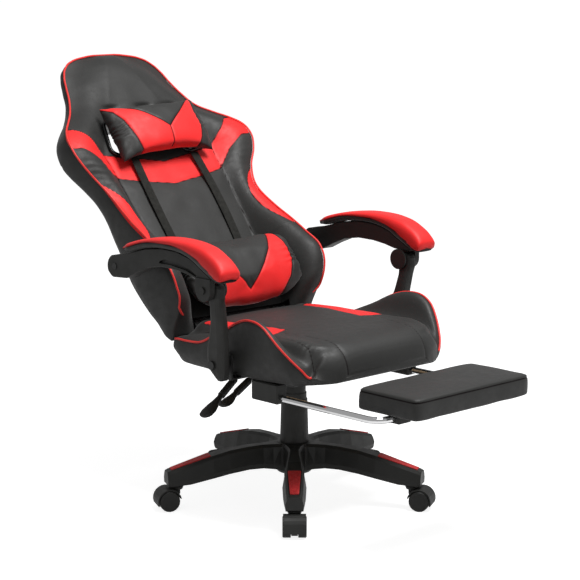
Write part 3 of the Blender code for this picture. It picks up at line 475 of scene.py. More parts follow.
def weld(obj, distance):
    """Joins vertices nearer than distance and turns the faces outward."""
    repair = bmesh.new()
    repair.from_mesh(obj.data)
    bmesh.ops.remove_doubles(repair, verts=repair.verts, dist=distance)
    bmesh.ops.recalc_face_normals(repair, faces=repair.faces)
    if repair.calc_volume(signed=True) < 0:
        bmesh.ops.reverse_faces(repair, faces=repair.faces)
    repair.to_mesh(obj.data)
    repair.free()


def cut(obj, other):
    """Cuts other out of obj and removes other."""
    step = obj.modifiers.new("cut", "BOOLEAN")
    step.operation = "DIFFERENCE"
    step.solver = "EXACT"
    step.object = other
    as_mesh(obj)
    bpy.data.objects.remove(other, do_unlink=True)


# ---- the back ------------------------------------------------------------------------------------
# up along the back: half width, piping, middle of the front, rear side edge, middle of the rear
BACK_STATIONS = (
    (-0.021, 0.226, 0.006, -0.002, -0.010, -0.024),
    (-0.006, 0.231, 0.026, 0.006, -0.017, -0.043),
    (0.016, 0.235, 0.066, 0.010, -0.0175, -0.050),
    (0.034, 0.239, 0.094, 0.012, -0.0160, -0.052),
    (0.064, 0.248, 0.116, 0.013, -0.0160, -0.054),
    (0.110, 0.252, 0.126, 0.014, -0.0200, -0.055),
    (0.165, 0.248, 0.108, 0.015, -0.0290, -0.056),
    (0.217, 0.243, 0.088, 0.015, -0.031, -0.057),
    (0.275, 0.239, 0.061, 0.015, -0.031, -0.058),
    (0.350, 0.236, 0.035, 0.014, -0.031, -0.058),
    (0.421, 0.259, 0.030, 0.012, -0.029, -0.058),
    (0.466, 0.286, 0.039, 0.009, -0.027, -0.057),
    (0.507, 0.298, 0.043, 0.006, -0.026, -0.056),
    (0.545, 0.292, 0.037, 0.004, -0.026, -0.055),
    (0.575, 0.272, 0.024, 0.003, -0.028, -0.054),
    (0.605, 0.243, 0.008, 0.003, -0.031, -0.053),
    (0.640, 0.211, -0.008, 0.004, -0.035, -0.052),
    (0.686, 0.186, -0.016, 0.006, -0.039, -0.052),
    (0.730, 0.171, -0.022, 0.008, -0.043, -0.052),
    (0.763, 0.160, -0.024, 0.0060, -0.0445, -0.0515),
    (0.790, 0.143, -0.025, 0.0000, -0.0445, -0.0500),
    (0.808, 0.119, -0.025, -0.008, -0.0430, -0.0470),
    (0.818, 0.090, -0.025, -0.0155, -0.0400, -0.0430),
    (0.8245, 0.052, -0.025, -0.0215, -0.0360, -0.0380),
)
BACK_ROWS = 230
BACK_FRONT_POINTS = 92
BACK_REAR_POINTS = 56
BOLSTER_SWELL = 0.010
SIDE_BULGE = 0.005
PANEL_SEAM = ((0.00, 0.150), (0.25, 0.166), (0.43, 0.174), (0.505, 0.178), (0.56, 0.150), (0.62, 0.100),
              (0.70, 0.065), (0.81, 0.020))   # up, across
PANEL_SEAM_END = 0.431
NOTCH_HALF, NOTCH_TOP = 0.164, 0.0195   # the cut-out at the foot of the back, over the seat's rear
CUT_REAR, CUT_FRONT, SLOT_CUT_FRONT = -0.10, 0.15, 0.06
SLOT_PLAY = 0.0032          # how much wider the cushion's slot is than its liner's nominal outline
PIPING_START = 0.022
PIPING_TAIL = ((-0.030, -0.012, -0.030), (-0.016, -0.010, -0.018), (-0.006, -0.006, -0.008))

SHOULDER = ((0.340, 0.512), (0.298, 0.512), (0.262, 0.508), (0.215, 0.478), (0.173, 0.431), (0.097, 0.414),
            (0, 0.400), (-0.05, 0.407), (-0.05, 0.462), (0, 0.470), (0.120, 0.492), (0.178, 0.504),
            (0.220, 0.545), (0.240, 0.566), (0.256, 0.577), (0.272, 0.578), (0.340, 0.568))
SHOULDER_SEAMS = (
    ((0.298, 0.512), (0.262, 0.508), (0.215, 0.478), (0.173, 0.431), (0.097, 0.414), (0, 0.400)),
    ((0, 0.470), (0.120, 0.492), (0.178, 0.504), (0.220, 0.545), (0.240, 0.566), (0.256, 0.577),
     (0.285, 0.577)),
    ((0.178, 0.504), (0.173, 0.431)),
)
CREST_FOLD = ((0.070, 0.6460), (0.096, 0.6475))     # on both sides
MIDDLE_FOLD = ((0.004, 0.6490), (0.046, 0.6445))    # on the sitter's left only
TUFTS = ((-0.082, 0.647), (0.024, 0.647), (0.118, 0.647))
REAR_SEAM_SHARE, REAR_SEAM_UP = 0.80, 0.500
CRESCENT_LOW, CRESCENT_HIGH, CRESCENT_WIDTH = 0.200, 0.412, 0.036


def front_height(share, half, edge, middle, seam, swell):
    """How far the back's front stands out, from its middle (share 0) to its edge (share 1)."""
    x = share * half
    rise = np.clip((x - seam) / (half - seam), 0, 1)
    roll = np.sin(rise * pi / 2) ** 1.15
    plump = swell * np.sin(pi * rise) ** 1.6
    return middle + (edge - middle) * roll + plump


def back_ring(up, station, seam):
    """Points round the back at one height, as (across, front, face): front, left side, rear, right side."""
    half, edge_front, middle, edge_rear, rear = station
    share = np.linspace(-1, 1, BACK_FRONT_POINTS)
    share = np.sign(share) * np.abs(share) ** 0.92
    front_half = half - 0.002
    swell = BOLSTER_SWELL * ease((0.810 - up) / 0.09)
    front = front_height(np.abs(share), front_half, edge_front, middle, min(seam, half * 0.76), swell)
    down_side = np.linspace(0, 1, 9)[1:-1]
    side_x = half + SIDE_BULGE * np.sin(pi * down_side)
    side_front = edge_front + (edge_rear - edge_front) * down_side
    rear_share = np.linspace(1, -1, BACK_REAR_POINTS)
    roll = np.sin(np.clip((1 - np.abs(rear_share)) * 1.6, 0, 1) * pi / 2)
    ring_x = np.concatenate([share * front_half, side_x, rear_share * (half - 0.003), -side_x[::-1]])
    ring_front = np.concatenate([front, side_front, edge_rear + (rear - edge_rear) * roll, side_front[::-1]])
    counts = (BACK_FRONT_POINTS, len(down_side), BACK_REAR_POINTS, len(down_side))
    return ring_x, ring_front, np.repeat((SHOWN, SIDE, HIDDEN, SIDE), counts)


def build_back(finishes):
    """The back's cover, closer rows of points at both ends, and its piping."""
    low, high = BACK_STATIONS[0][0], BACK_STATIONS[-1][0]
    even = np.linspace(0, 1, BACK_ROWS)
    ups = low + (high - low) * (0.35 * (0.5 - 0.5 * np.cos(pi * even)) + 0.65 * even)
    stations = curve(BACK_STATIONS, ups)
    seams = np.interp(ups, *zip(*PANEL_SEAM))
    rows, flat, faces = [], [], []
    for up, station, seam in zip(ups, stations, seams):
        ring_x, ring_front, ring_face = back_ring(up, station, seam)
        rows.append(on_back(ring_x, up, ring_front))
        flat.append(np.column_stack([ring_x, np.full(len(ring_x), up)]))
        faces.append(ring_face)
    cushion = skin("back_upholstery", np.array(rows), finishes["upholstery"])
    paint_back(cushion, with_ends(flat), np.concatenate([*faces, (SIDE, SIDE)]), ups, stations, seams)
    cut_back(cushion, finishes["upholstery"])
    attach(cushion, "back")
    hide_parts("back_cushion")
    build_back_piping(ups, stations, finishes["piping"])


def cut_back(cushion, finish):
    """Cuts the notch at the foot of the back, then the two neck slots."""
    corners = ((-NOTCH_HALF, -0.06), (NOTCH_HALF, -0.06), (NOTCH_HALF, NOTCH_TOP), (-NOTCH_HALF, NOTCH_TOP))
    ends = [[on_back(x, up, front) for x, up in corners] for front in (CUT_REAR, CUT_FRONT)]
    cut(cushion, skin("notch", np.array(ends), finish))
    for sign in (1, -1):
        ends = [slot_ring(sign, SLOT_PLAY, front) for front in (CUT_REAR, SLOT_CUT_FRONT)]
        cut(cushion, skin("plug", np.array(ends), finish))


def build_back_piping(ups, stations, finish):
    """The piping up one side of the back, over its crest and down the other."""
    edge = np.column_stack([stations[:, 0], ups, stations[:, 1]])
    edge = edge[edge[:, 1] > PIPING_START]
    run = np.gradient(edge[:, :2], axis=0)
    run /= np.linalg.norm(run, axis=1, keepdims=True)
    edge[:, :2] += 0.0010 * np.column_stack([run[:, 1], -run[:, 0]])
    edge = np.vstack([edge[0] + np.array(PIPING_TAIL), edge])
    line = [*on_back(edge[:, 0], edge[:, 1], edge[:, 2] + 0.0012)]
    line += [on_back(x, edge[-1, 1] + 0.0010, edge[-1, 2] + 0.0018) for x in (0.034, 0.017, 0.0)]
    other_side = [place * (-1, 1, 1) for place in line[-2::-1]]
    rope = piping("back_piping", line + other_side, finish)
    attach(rope, "back")


def back_seam_distance(flat, m, half, panel_seam, crescent, faces):
    """Distance of every point of the back from the nearest seam or fold of its face."""
    front = [line_distance(m, line) for line in SHOULDER_SEAMS]
    front.append(np.where(m[:, 1] < PANEL_SEAM_END, np.abs(m[:, 0] - panel_seam), FAR))
    front.append(np.abs(crescent))
    front.append(line_distance(m, CREST_FOLD) + 0.0004)
    front.append(line_distance(flat, MIDDLE_FOLD) + 0.0004)
    rear = (np.abs(m[:, 0] - half * REAR_SEAM_SHARE), np.abs(m[:, 1] - REAR_SEAM_UP))
    hidden = np.where(faces == HIDDEN, np.minimum(*rear), FAR)
    return np.where(faces == SHOWN, np.minimum.reduce(front), hidden)


def paint_back(cushion, flat, faces, ups, stations, seams):
    """Colour fields, seams, tufts and wrinkles of the back's skin."""
    m = mirrored(flat)
    across, up = m.T
    half = np.interp(up, ups, stations[:, 0])
    panel_seam = np.interp(up, ups, seams)
    front = faces == SHOWN
    span = np.clip((up - CRESCENT_LOW) / (CRESCENT_HIGH - CRESCENT_LOW), 0, 1)
    inset = CRESCENT_WIDTH * np.sin(pi * span) ** 0.75
    crescent = np.where((up > CRESCENT_LOW) & (up < CRESCENT_HIGH), across - (half - inset), NOT_RED)
    seam = back_seam_distance(flat, m, half, panel_seam, crescent, faces)
    set_field(cushion, "red", np.where(front, np.maximum(inside(m, SHOULDER), crescent), NOT_RED))
    set_field(cushion, "seam", seam)
    set_field(cushion, "holes", np.where(front, 0.035 - np.abs(across - (half - 0.045)), -1.0))

    places = places_of(cushion)
    groove = -SEAM_DEPTH * bump_at(seam, SEAM_WIDTH)
    bulge = 0.0020 * (1 - bump_at(seam, 0.022)) * front
    folds = 0.0016 * wrinkle(places, 0.055, 3.1)
    pleats = 0.0009 * np.sin(up * 2 * pi / 0.017 + 3 * wrinkle(places, 0.05, 1.0))
    pleats *= (front & (across > panel_seam + 0.015)) * bump_at(up - 0.455, 0.035)
    pleats *= np.where(flat[:, 0] > 0, 0.35, 1.0)
    tufts = np.zeros(len(m))
    for tuft_x, tuft_up in TUFTS:
        x, y = flat[:, 0] - tuft_x, up - tuft_up
        tufts -= 0.0070 * bump_at(np.hypot(x / 0.024, y / 0.0065), 1)
        tufts -= 0.0030 * bump_at(np.hypot(x / 0.04, y / 0.03), 1)
    neck = -0.006 * bump_at(up - 0.600, 0.03) * bump_at(across - 0.11, 0.05)
    side_puff = np.where(faces == SIDE, 0.0012 * wrinkle(places, 0.03, 8.0), 0)
    # the relief fades out at the crest and beside the piping
    calm = ease((0.815 - up) / 0.05) * ease((half - across) / 0.012 + (faces > SHOWN))
    move(cushion, (groove + bulge + folds + pleats) * calm + (tufts + neck) * front + side_puff)


SLOT_X, SLOT_UP, SLOT_TILT = 0.1105, 0.547, radians(11)
SLOT_HALF_WIDTH, SLOT_HALF_LENGTH, SLOT_CORNER = 0.0325, 0.0465, 0.016
SLOT_FRONT, SLOT_DEPTH, SLOT_SPREAD = 0.014, 0.065, 0.010
SLOT_CORNER_POINTS = 9
LINER_SECTION = ((0.0030, -0.058), (0.0058, -0.0585), (0.0062, -0.0560), (0.0030, -0.0545), (0.0030, 0.0075),
                 (0.0085, 0.0090), (0.0086, 0.0112), (0.0060, 0.0140), (0.0020, 0.0150), (0.0000, 0.0120),
                 (-0.0080, -0.0560))   # how far outside the slot, front


def slot_ring(sign, grow, front):
    """Points round a neck slot at one depth. Towards the rear it widens and shifts inward and upward."""
    spread = SLOT_SPREAD * (SLOT_FRONT - front) / SLOT_DEPTH
    wide, long = SLOT_HALF_WIDTH + spread - SLOT_CORNER, SLOT_HALF_LENGTH + spread - SLOT_CORNER
    radius = SLOT_CORNER + grow
    turn = Matrix.Rotation(SLOT_TILT * sign, 2)
    ring = []
    for start, x, up in ((0, wide, long), (pi / 2, -wide, long), (pi, -wide, -long), (1.5 * pi, wide, -long)):
        for angle in np.linspace(start, start + pi / 2, SLOT_CORNER_POINTS):
            spot = turn @ Vector((x + radius * cos(angle), up + radius * sin(angle)))
            ring.append(on_back(sign * (SLOT_X - spread) + spot.x, SLOT_UP + 0.8 * spread + spot.y, front))
    return np.array(ring)


def build_liners(finishes):
    """Glossy rounded liners of the neck slots."""
    for side, sign in (("left", 1), ("right", -1)):
        rings = np.array([slot_ring(sign, grow, front) for grow, front in LINER_SECTION])
        faces = ring_faces(*rings.shape[:2], closed=True)
        liner = new_piece(f"neck_liner_{side}", rings.reshape(-1, 3), faces, finishes["plastic_gloss"])
        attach(liner, "back")
        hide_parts(f"neck_bezel_{side}")


# ---- cushions on the back ------------------------------------------------------------------------
def pillow_grid(name, centre, half, outline, thickness, finish, waist=0.0):
    """A sewn cushion: two skins joined round a four-cornered outline, plump in the middle.

    outline gives, for each share across, the lower and upper edge as shares of the half height. waist pulls
    the ends' middles in."""
    low, high = outline(np.linspace(-1, 1, PILLOW_COLUMNS))
    u, v = np.meshgrid(np.linspace(-1, 1, PILLOW_COLUMNS), np.linspace(-1, 1, PILLOW_ROWS))
    up = centre[1] + half[1] * ((high + low) / 2 + (high - low) / 2 * v)
    x = centre[0] + u * (half[0] - waist * (1 - v**2) * np.abs(u) ** 3)
    body = np.clip(1 - np.abs(u) ** 3.2, 0, 1) ** 0.42 * np.clip(1 - np.abs(v) ** 2.6, 0, 1) ** 0.5
    sheets = [on_back(x, up, centre[2] + swell * body).reshape(-1, 3)
              for swell in (thickness[0], -thickness[1])]
    faces = []
    other = PILLOW_COLUMNS * PILLOW_ROWS
    for r in range(PILLOW_ROWS - 1):
        for c in range(PILLOW_COLUMNS - 1):
            a = r * PILLOW_COLUMNS + c
            b = a + PILLOW_COLUMNS
            faces.append((a, a + 1, b + 1, b))
            faces.append((other + a, other + b, other + b + 1, other + a + 1))
    obj = new_piece(name, np.concatenate(sheets), faces, finish)
    weld(obj, 0.00004)
    obj.data.shade_smooth()
    return obj


def back_coordinates(places):
    """(across, up, front) of places on the leaning back."""
    rel = places - RECLINE
    return np.column_stack([rel @ ACROSS, rel @ UP, rel @ FRONT])


PILLOW_COLUMNS, PILLOW_ROWS = 84, 44
PILLOW_RED = ((-0.170, 0.636), (-0.104, 0.6095), (-0.068, 0.592), (-0.037, 0.566), (0.005, 0.532),
              (0.034, 0.556), (0.063, 0.577), (0.100, 0.606), (0.142, 0.637), (0.128, 0.600), (0.121, 0.573),
              (0.121, 0.534), (0.109, 0.501), (0.092, 0.476), (0.080, 0.430), (-0.085, 0.430),
              (-0.095, 0.475), (-0.103, 0.4955), (-0.112, 0.533), (-0.121, 0.569), (-0.134, 0.599))
PILLOW_SEAM = ((0.005, 0.532), (0.002, 0.44))
LUMBAR_RED = ((0.150, 0.215), (0.131, 0.184), (0.095, 0.131), (0.059, 0.092), (0, 0.038), (-0.059, 0.092),
              (-0.095, 0.131), (-0.131, 0.184), (-0.150, 0.215), (-0.162, 0.150), (-0.157, 0.094),
              (-0.135, 0.050), (-0.117, 0.031), (-0.066, -0.030), (0.066, -0.030), (0.117, 0.031),
              (0.135, 0.050), (0.157, 0.094), (0.162, 0.150))


def dress_cushion(obj, outline, node, seams, wrinkles):
    """Fields, grooves and end wrinkles of a sewn cushion, then its place on the chair."""
    spots = back_coordinates(places_of(obj))
    flat = spots[:, :2]
    facing = normals_of(obj) @ FRONT
    field = inside(flat, outline)
    set_field(obj, "red", np.where(facing > -0.15, field, NOT_RED))
    distance = np.where(facing > -0.1, np.abs(field), FAR)
    for line in seams:
        distance = np.minimum(distance, np.where(facing > 0, line_distance(flat, line), FAR))
    set_field(obj, "seam", distance)
    set_field(obj, "holes", np.full(len(flat), -1.0))
    reach = np.abs(flat[:, 0]).max()
    ends = ease((np.abs(flat[:, 0]) / reach - 0.60) / 0.38)
    fan = np.arctan2(flat[:, 1] - flat[:, 1].mean(), 0.35 * (reach - np.abs(flat[:, 0])) + 0.012)
    crinkle = np.sin(fan * 11 + 4 * wrinkle(places_of(obj), 0.03, 2.0))
    soft = wrinkle(places_of(obj), 0.045, 5.0) * 0.0022
    move(obj, -0.0016 * bump_at(distance, SEAM_WIDTH) + ends * crinkle * wrinkles + soft)
    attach(obj, "back")
    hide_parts(node)


PUFF_FRAMES = 20
PUFF_PRESSURE = 2.0
PUFF_CAP = 0.005            # how far the filling may move a point


def puff(obj):
    """Fills a sewn cushion by a short cloth simulation."""
    before = places_of(obj)
    cloth = obj.modifiers.new("cloth", "CLOTH")
    cloth.settings.quality = 6
    cloth.settings.mass = 0.4
    cloth.settings.tension_stiffness = 12
    cloth.settings.compression_stiffness = 12
    cloth.settings.bending_stiffness = 0.4
    cloth.settings.use_pressure = True
    cloth.settings.uniform_pressure_force = PUFF_PRESSURE
    cloth.settings.effector_weights.gravity = 0
    cloth.collision_settings.use_self_collision = False
    cloth.point_cache.frame_start = 1
    cloth.point_cache.frame_end = PUFF_FRAMES
    for frame in range(1, PUFF_FRAMES + 1):
        bpy.context.scene.frame_set(frame)
    as_mesh(obj)
    bpy.context.scene.frame_set(1)
    shift = places_of(obj) - before
    size = np.linalg.norm(shift, axis=1, keepdims=True)
    put(obj, before + shift * np.minimum(1, PUFF_CAP / np.maximum(size, 1e-9)))


def subdivide(obj):
    """Smooths a mesh by one subdivision."""
    step = obj.modifiers.new("smooth", "SUBSURF")
    step.levels = 1
    step.render_levels = 1
    as_mesh(obj)
    obj.data.shade_smooth()


def bend(obj, centre, half, back_ends, tilt=0.0):
    """Curves a cushion's ends back (or forward, below zero) and tips it in its own plane."""
    places = places_of(obj)
    across = back_coordinates(places)[:, 0] - centre[0]
    share = np.abs(across) / half[0]
    put(obj, places - (back_ends * share**2.4)[:, None] * FRONT + (tilt * across)[:, None] * UP)


def build_pillow(finishes):
    """The head pillow's cover."""
    def outline(u):
        """Pulled-out corners: the ends are taller than the waist."""
        flare = np.abs(u) ** 3
        return -(0.88 + 0.14 * flare), 0.86 + 0.20 * flare

    centre, half, thickness = (0, 0.547, 0.047), (0.155, 0.0795), (0.032, 0.027)
    pillow = pillow_grid("head_pillow_cover", centre, half, outline, thickness, finishes["upholstery"],
                         waist=0.004)
    bend(pillow, centre, half, 0.014, tilt=0.038)
    puff(pillow)
    subdivide(pillow)
    dress_cushion(pillow, PILLOW_RED, "head_pillow", [PILLOW_SEAM], 0.0011)


def build_lumbar(finishes):
    """The lumbar cushion's cover, whose ends come forward with the back's bolsters."""
    def outline(u):
        """Rounded ends."""
        round_end = np.clip(np.abs(u), 0, 1) ** 5
        return -(1.0 - 0.45 * round_end), 1.0 - 0.30 * round_end

    centre, half, thickness = (0, 0.104, 0.060), (0.184, 0.092), (0.044, 0.036)
    cushion = pillow_grid("lumbar_cushion_cover", centre, half, outline, thickness, finishes["upholstery"])
    bend(cushion, centre, half, -0.028)
    puff(cushion)
    subdivide(cushion)
    dress_cushion(cushion, LUMBAR_RED, "lumbar_cushion", [], 0.0012)


STRAP_LOW, STRAP_HIGH = 0.170, 0.482
STRAP_BOW_RUN = 0.310
STRAP_X = 0.100
STRAP_HALF, STRAP_SOFT = 0.0125, 0.01125    # half width, and where its rounded edge begins
STRAP_SECTION = ((-STRAP_HALF, 0), (-STRAP_SOFT, -0.0004), (STRAP_SOFT, -0.0004), (STRAP_HALF, 0),
                 (STRAP_HALF, 0.0012), (STRAP_SOFT, 0.0016), (-STRAP_SOFT, 0.0016), (-STRAP_HALF, 0.0012))


def build_straps(finishes):
    """Elastic bands from the head pillow to the lumbar cushion."""
    ups = np.linspace(STRAP_LOW, STRAP_HIGH, 40)
    lifts = 0.0185 + 0.0030 * np.sin(pi * (ups - STRAP_LOW) / (STRAP_HIGH - STRAP_LOW))
    centres = STRAP_X + 0.006 * np.sin(pi * (ups - STRAP_LOW) / STRAP_BOW_RUN)
    section_x, section_front = np.array(STRAP_SECTION).T
    for side, sign in (("left", 1), ("right", -1)):
        rows = [on_back(sign * centre + section_x, up, lift + section_front)
                for up, lift, centre in zip(ups, lifts, centres)]
        strap = skin(f"strap_{side}", np.array(rows), finishes["webbing"])
        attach(strap, "back")
        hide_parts(f"pillow_strap_{side}")


# ---- the seat ------------------------------------------------------------------------------------
# Y from the column: underside, middle of the top, half width, top of the wing, valley beside it
SEAT_STATIONS = (
    (-0.3135, 0.3710, 0.3960, 0.1330, 0.3900, 0.3950),
    (-0.3128, 0.3690, 0.4010, 0.1390, 0.3945, 0.3995),
    (-0.3115, 0.3675, 0.4065, 0.1460, 0.3990, 0.4045),
    (-0.3085, 0.3655, 0.4150, 0.1590, 0.4050, 0.4120),
    (-0.3030, 0.3645, 0.4245, 0.1730, 0.4110, 0.4200),
    (-0.2950, 0.3640, 0.4335, 0.1890, 0.4110, 0.4260),
    (-0.2870, 0.3635, 0.4390, 0.2030, 0.4000, 0.4260),
    (-0.2770, 0.3630, 0.4435, 0.2160, 0.3810, 0.4180),
    (-0.2645, 0.3620, 0.4470, 0.2335, 0.4000, 0.4130),
    (-0.2485, 0.3610, 0.4495, 0.2475, 0.4200, 0.4160),
    (-0.2235, 0.3600, 0.4515, 0.2635, 0.4500, 0.4210),
    (-0.1970, 0.3590, 0.4525, 0.2725, 0.4795, 0.4270),
    (-0.1480, 0.3565, 0.4530, 0.2710, 0.4995, 0.4340),
    (-0.1150, 0.3555, 0.4535, 0.2655, 0.4975, 0.4365),
    (-0.0800, 0.3550, 0.4540, 0.2595, 0.4865, 0.4380),
    (-0.0400, 0.3540, 0.4540, 0.2565, 0.4655, 0.4385),
    (0.010, 0.354, 0.454, 0.253, 0.442, 0.438),
    (0.060, 0.354, 0.452, 0.248, 0.419, 0.433),
    (0.120, 0.354, 0.447, 0.243, 0.412, 0.424),
    (0.155, 0.358, 0.440, 0.239, 0.411, 0.418),
    (0.174, 0.368, 0.424, 0.234, 0.408, 0.412),
)
NOSE_ROWS, SEAT_ROWS = 60, 130
NOSE_END = -0.240
TOP_POINTS, FLANK_POINTS, UNDER_POINTS = 46, 13, 18
FRONT_SEAM = ((0.150, -0.110), (0.147, -0.145), (0.1395, -0.189), (0.1345, -0.236), (0.1320, -0.27),
              (0.1310, -0.33))
WING_SEAM = ((-0.290, 0.2120), (-0.277, 0.2040), (-0.250, 0.1970), (-0.200, 0.1945), (-0.120, 0.197),
             (0.0, 0.197), (0.17, 0.196))   # Y, across
WIDEST_FOOT = 0.249
SEAT_RED = ((0.150, 0.125), (0.125, -0.10), (0.190, -0.118), (0.196, 0.02), (0.175, 0.135))


def seat_ring(y, station):
    """Points round the seat at one Y, as (across, height, face), from the middle of its top."""
    low, middle, half, wing, valley = station
    nose = ease((-y - 0.20) / 0.06)
    bed = half - 0.050 + 0.022 * nose
    slope = half - 0.007 - bed
    section = ((0.0, middle), (bed * 0.4, middle), (bed * 0.72, middle - 0.001),
               (min(0.93 * bed, bed - 0.008), middle - 0.005 - 0.006 * nose), (bed, valley + 0.002),
               (bed + 0.4 * slope, valley * 0.66 + wing * 0.34 - 0.002 * nose),
               (bed + 0.72 * slope, valley * 0.18 + wing * 0.82 + 0.003),
               (half - 0.007, wing + 0.0015), (half, wing - 0.002))
    top_x = np.linspace(0, 1, TOP_POINTS) * half
    blunt = ease((-y - 0.272) / 0.020)
    shoulder = low + 0.16 * (middle - low)
    rounded = shoulder + (middle - shoulder) * np.clip(1 - (top_x / half) ** 5, 0, 1) ** 0.45
    top_z = curve(section, top_x)[:, 0] * (1 - blunt) + rounded * blunt
    edge = (wing - 0.002) * (1 - blunt) + shoulder * blunt
    drop = edge - low
    foot = min(0.010, drop * 0.4)
    lean = half - min(half, WIDEST_FOOT)
    down = np.linspace(0, 1, FLANK_POINTS + 1)[1:]
    flank_x = half - lean * down + min(0.004, drop * 0.1) * np.sin(pi * down) - 0.5 * foot * down**6
    flank_z = edge - (drop - foot) * down
    under_x = np.linspace(half - lean - foot * 1.2, 0, UNDER_POINTS)
    x = np.concatenate([top_x, flank_x, under_x])
    z = np.concatenate([top_z, flank_z, np.full(UNDER_POINTS, low)])
    face = np.repeat((SHOWN, SIDE, HIDDEN), (TOP_POINTS, FLANK_POINTS, UNDER_POINTS))
    return [np.concatenate([right, sign * right[-2:0:-1]]) for right, sign in ((x, -1), (z, 1), (face, 1))]


def build_seat(finishes):
    """The seat's cover, with the closest rows of points at its blunt nose, and the piping of its wings."""
    front, rear = SEAT_STATIONS[0][0], SEAT_STATIONS[-1][0]
    ys = np.concatenate([front + (NOSE_END - front) * np.linspace(0, 1, NOSE_ROWS)[:-1] ** 2.2,
                         NOSE_END + (rear - NOSE_END) * np.sin(np.linspace(0, pi / 2, SEAT_ROWS))])
    stations = curve(SEAT_STATIONS, ys)
    rows, flat, faces = [], [], []
    for y, station in zip(ys, stations):
        x, z, face = seat_ring(y, station)
        rows.append(np.column_stack([x, np.full(len(x), y + COLUMN_Y), z]))
        flat.append(np.column_stack([x, np.full(len(x), y)]))
        faces.append(face)
    seat = skin("seat_upholstery", np.array(rows), finishes["upholstery"])
    paint_seat(seat, with_ends(flat), np.concatenate([*faces, (SIDE, SIDE)]))
    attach(seat, "seat")
    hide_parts("seat_cushion")
    for side, sign in (("left", 1), ("right", -1)):
        line = [np.array((sign * (half + 0.0005), y + COLUMN_Y, wing))
                for y, (_, _, half, wing, _) in zip(ys, stations) if -0.279 < y < 0.168]
        rope = piping(f"seat_piping_{side}", line, finishes["piping"])
        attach(rope, "seat")


def paint_seat(seat, flat, faces):
    """Colour fields, seams, the wings' puckered gusset and the crown of the seat's skin."""
    m = mirrored(flat)
    across, y = m.T
    top = faces == SHOWN
    red = np.where(top, inside(m, SEAT_RED), NOT_RED)
    wing_seam = np.interp(y, *zip(*WING_SEAM))
    seams = (line_distance(m, FRONT_SEAM), np.abs(across - wing_seam), np.abs(red))
    seam = np.where(top, np.minimum.reduce(seams), FAR)
    set_field(seat, "red", red)
    set_field(seat, "seam", seam)
    set_field(seat, "holes", np.where(top, 0.02 - np.abs(across - 0.235), -1.0))
    gusset = top * bump_at(across - wing_seam, 0.014) * ease((-y - 0.16) / 0.06)
    pleats = gusset * (0.0007 * np.sin(y * 2 * pi / 0.015) - 0.001)
    crown = top * 0.004 * np.cos(np.clip(across / 0.19, 0, 1) * pi / 2) * ease((y + 0.31) / 0.08)
    soft = wrinkle(places_of(seat), 0.07, 9.0) * 0.0009 * ease((y + 0.32) / 0.07) * (faces < HIDDEN)
    move(seat, -SEAM_DEPTH * bump_at(seam, SEAM_WIDTH) + pleats + crown + soft)


# ---- armrest pads and the footrest pad -----------------------------------------------------------
PAD_TOP_LINE = ((-0.1340, 0.6060), (-0.1335, 0.6200), (-0.1215, 0.6355), (-0.1020, 0.6495), (-0.0660, 0.6655),
                (-0.0180, 0.6740), (0.0400, 0.6760), (0.0950, 0.6720), (0.1500, 0.6640), (0.2000, 0.6505),
                (0.2300, 0.6375))
PAD_LOW_LINE = ((-0.1320, 0.5970), (-0.1260, 0.5930), (-0.1130, 0.5925), (-0.0950, 0.5980), (-0.0620, 0.6145),
                (-0.0200, 0.6375), (0.0300, 0.6490), (0.0850, 0.6505), (0.1420, 0.6435), (0.1950, 0.6295),
                (0.2270, 0.6265))
PAD_SPLIT = ((-0.117, 0.13), (-0.085, 0.30), (-0.042, 0.39), (0.014, 0.46), (0.076, 0.55), (0.145, 0.65),
             (0.202, 0.58))   # Y, share of the height that is the black shell
ARM_X = 0.328
PAD_HALF = 0.030
PAD_ROWS, PAD_POINTS = 90, 40


def build_arm_pad(side, sign, finishes):
    """Padded top: red leather over a black moulded shell, which meet along the sides."""
    shares = np.linspace(0, 1, PAD_ROWS)
    top, low = (curve([(k, *p) for k, p in zip(np.linspace(0, 1, len(line)), line)], shares)
                for line in (PAD_TOP_LINE, PAD_LOW_LINE))
    thickness = np.linalg.norm(top - low, axis=1)
    angles = np.linspace(0, 2 * pi, PAD_POINTS, endpoint=False)
    c, s = np.cos(angles), np.sin(angles)
    out = np.sign(c) * np.abs(c) ** 0.42
    rise = 0.5 + 0.5 * np.sign(s) * np.abs(s) ** 0.75
    rows = []
    for share, upper, lower in zip(shares, top, low):
        half = PAD_HALF * (0.62 + 0.38 * ease(min(share, 1 - share) / 0.10))
        half *= 1 - 0.10 * ease((share - 0.6) / 0.4)
        spots = lower + (upper - lower) * rise[:, None]
        rows.append(np.column_stack([sign * ARM_X + half * out, spots[:, 0] + COLUMN_Y, spots[:, 1]]))
    pad = skin(f"arm_pad_cover_{side}", np.array(rows), finishes["upholstery"])
    heights = np.concatenate([np.outer(thickness, rise).ravel(), (0, 0)])
    thickness = np.concatenate([np.repeat(thickness, PAD_POINTS), (0.01, 0.01)])
    red = heights - thickness * np.interp(places_of(pad)[:, 1] - COLUMN_Y, *zip(*PAD_SPLIT))
    set_field(pad, "red", red)
    set_field(pad, "seam", np.abs(red))
    set_field(pad, "holes", np.full(len(red), -1.0))
    swell = 0.0012 * (red > 0) * (1 - bump_at(red, 0.004)) - 0.0012 * bump_at(red, 0.0016)
    move(pad, swell + wrinkle(places_of(pad), 0.04, 4.0) * 0.0006)
    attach(pad, f"armrest_{side}")
    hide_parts(f"arm_pad_{side}")


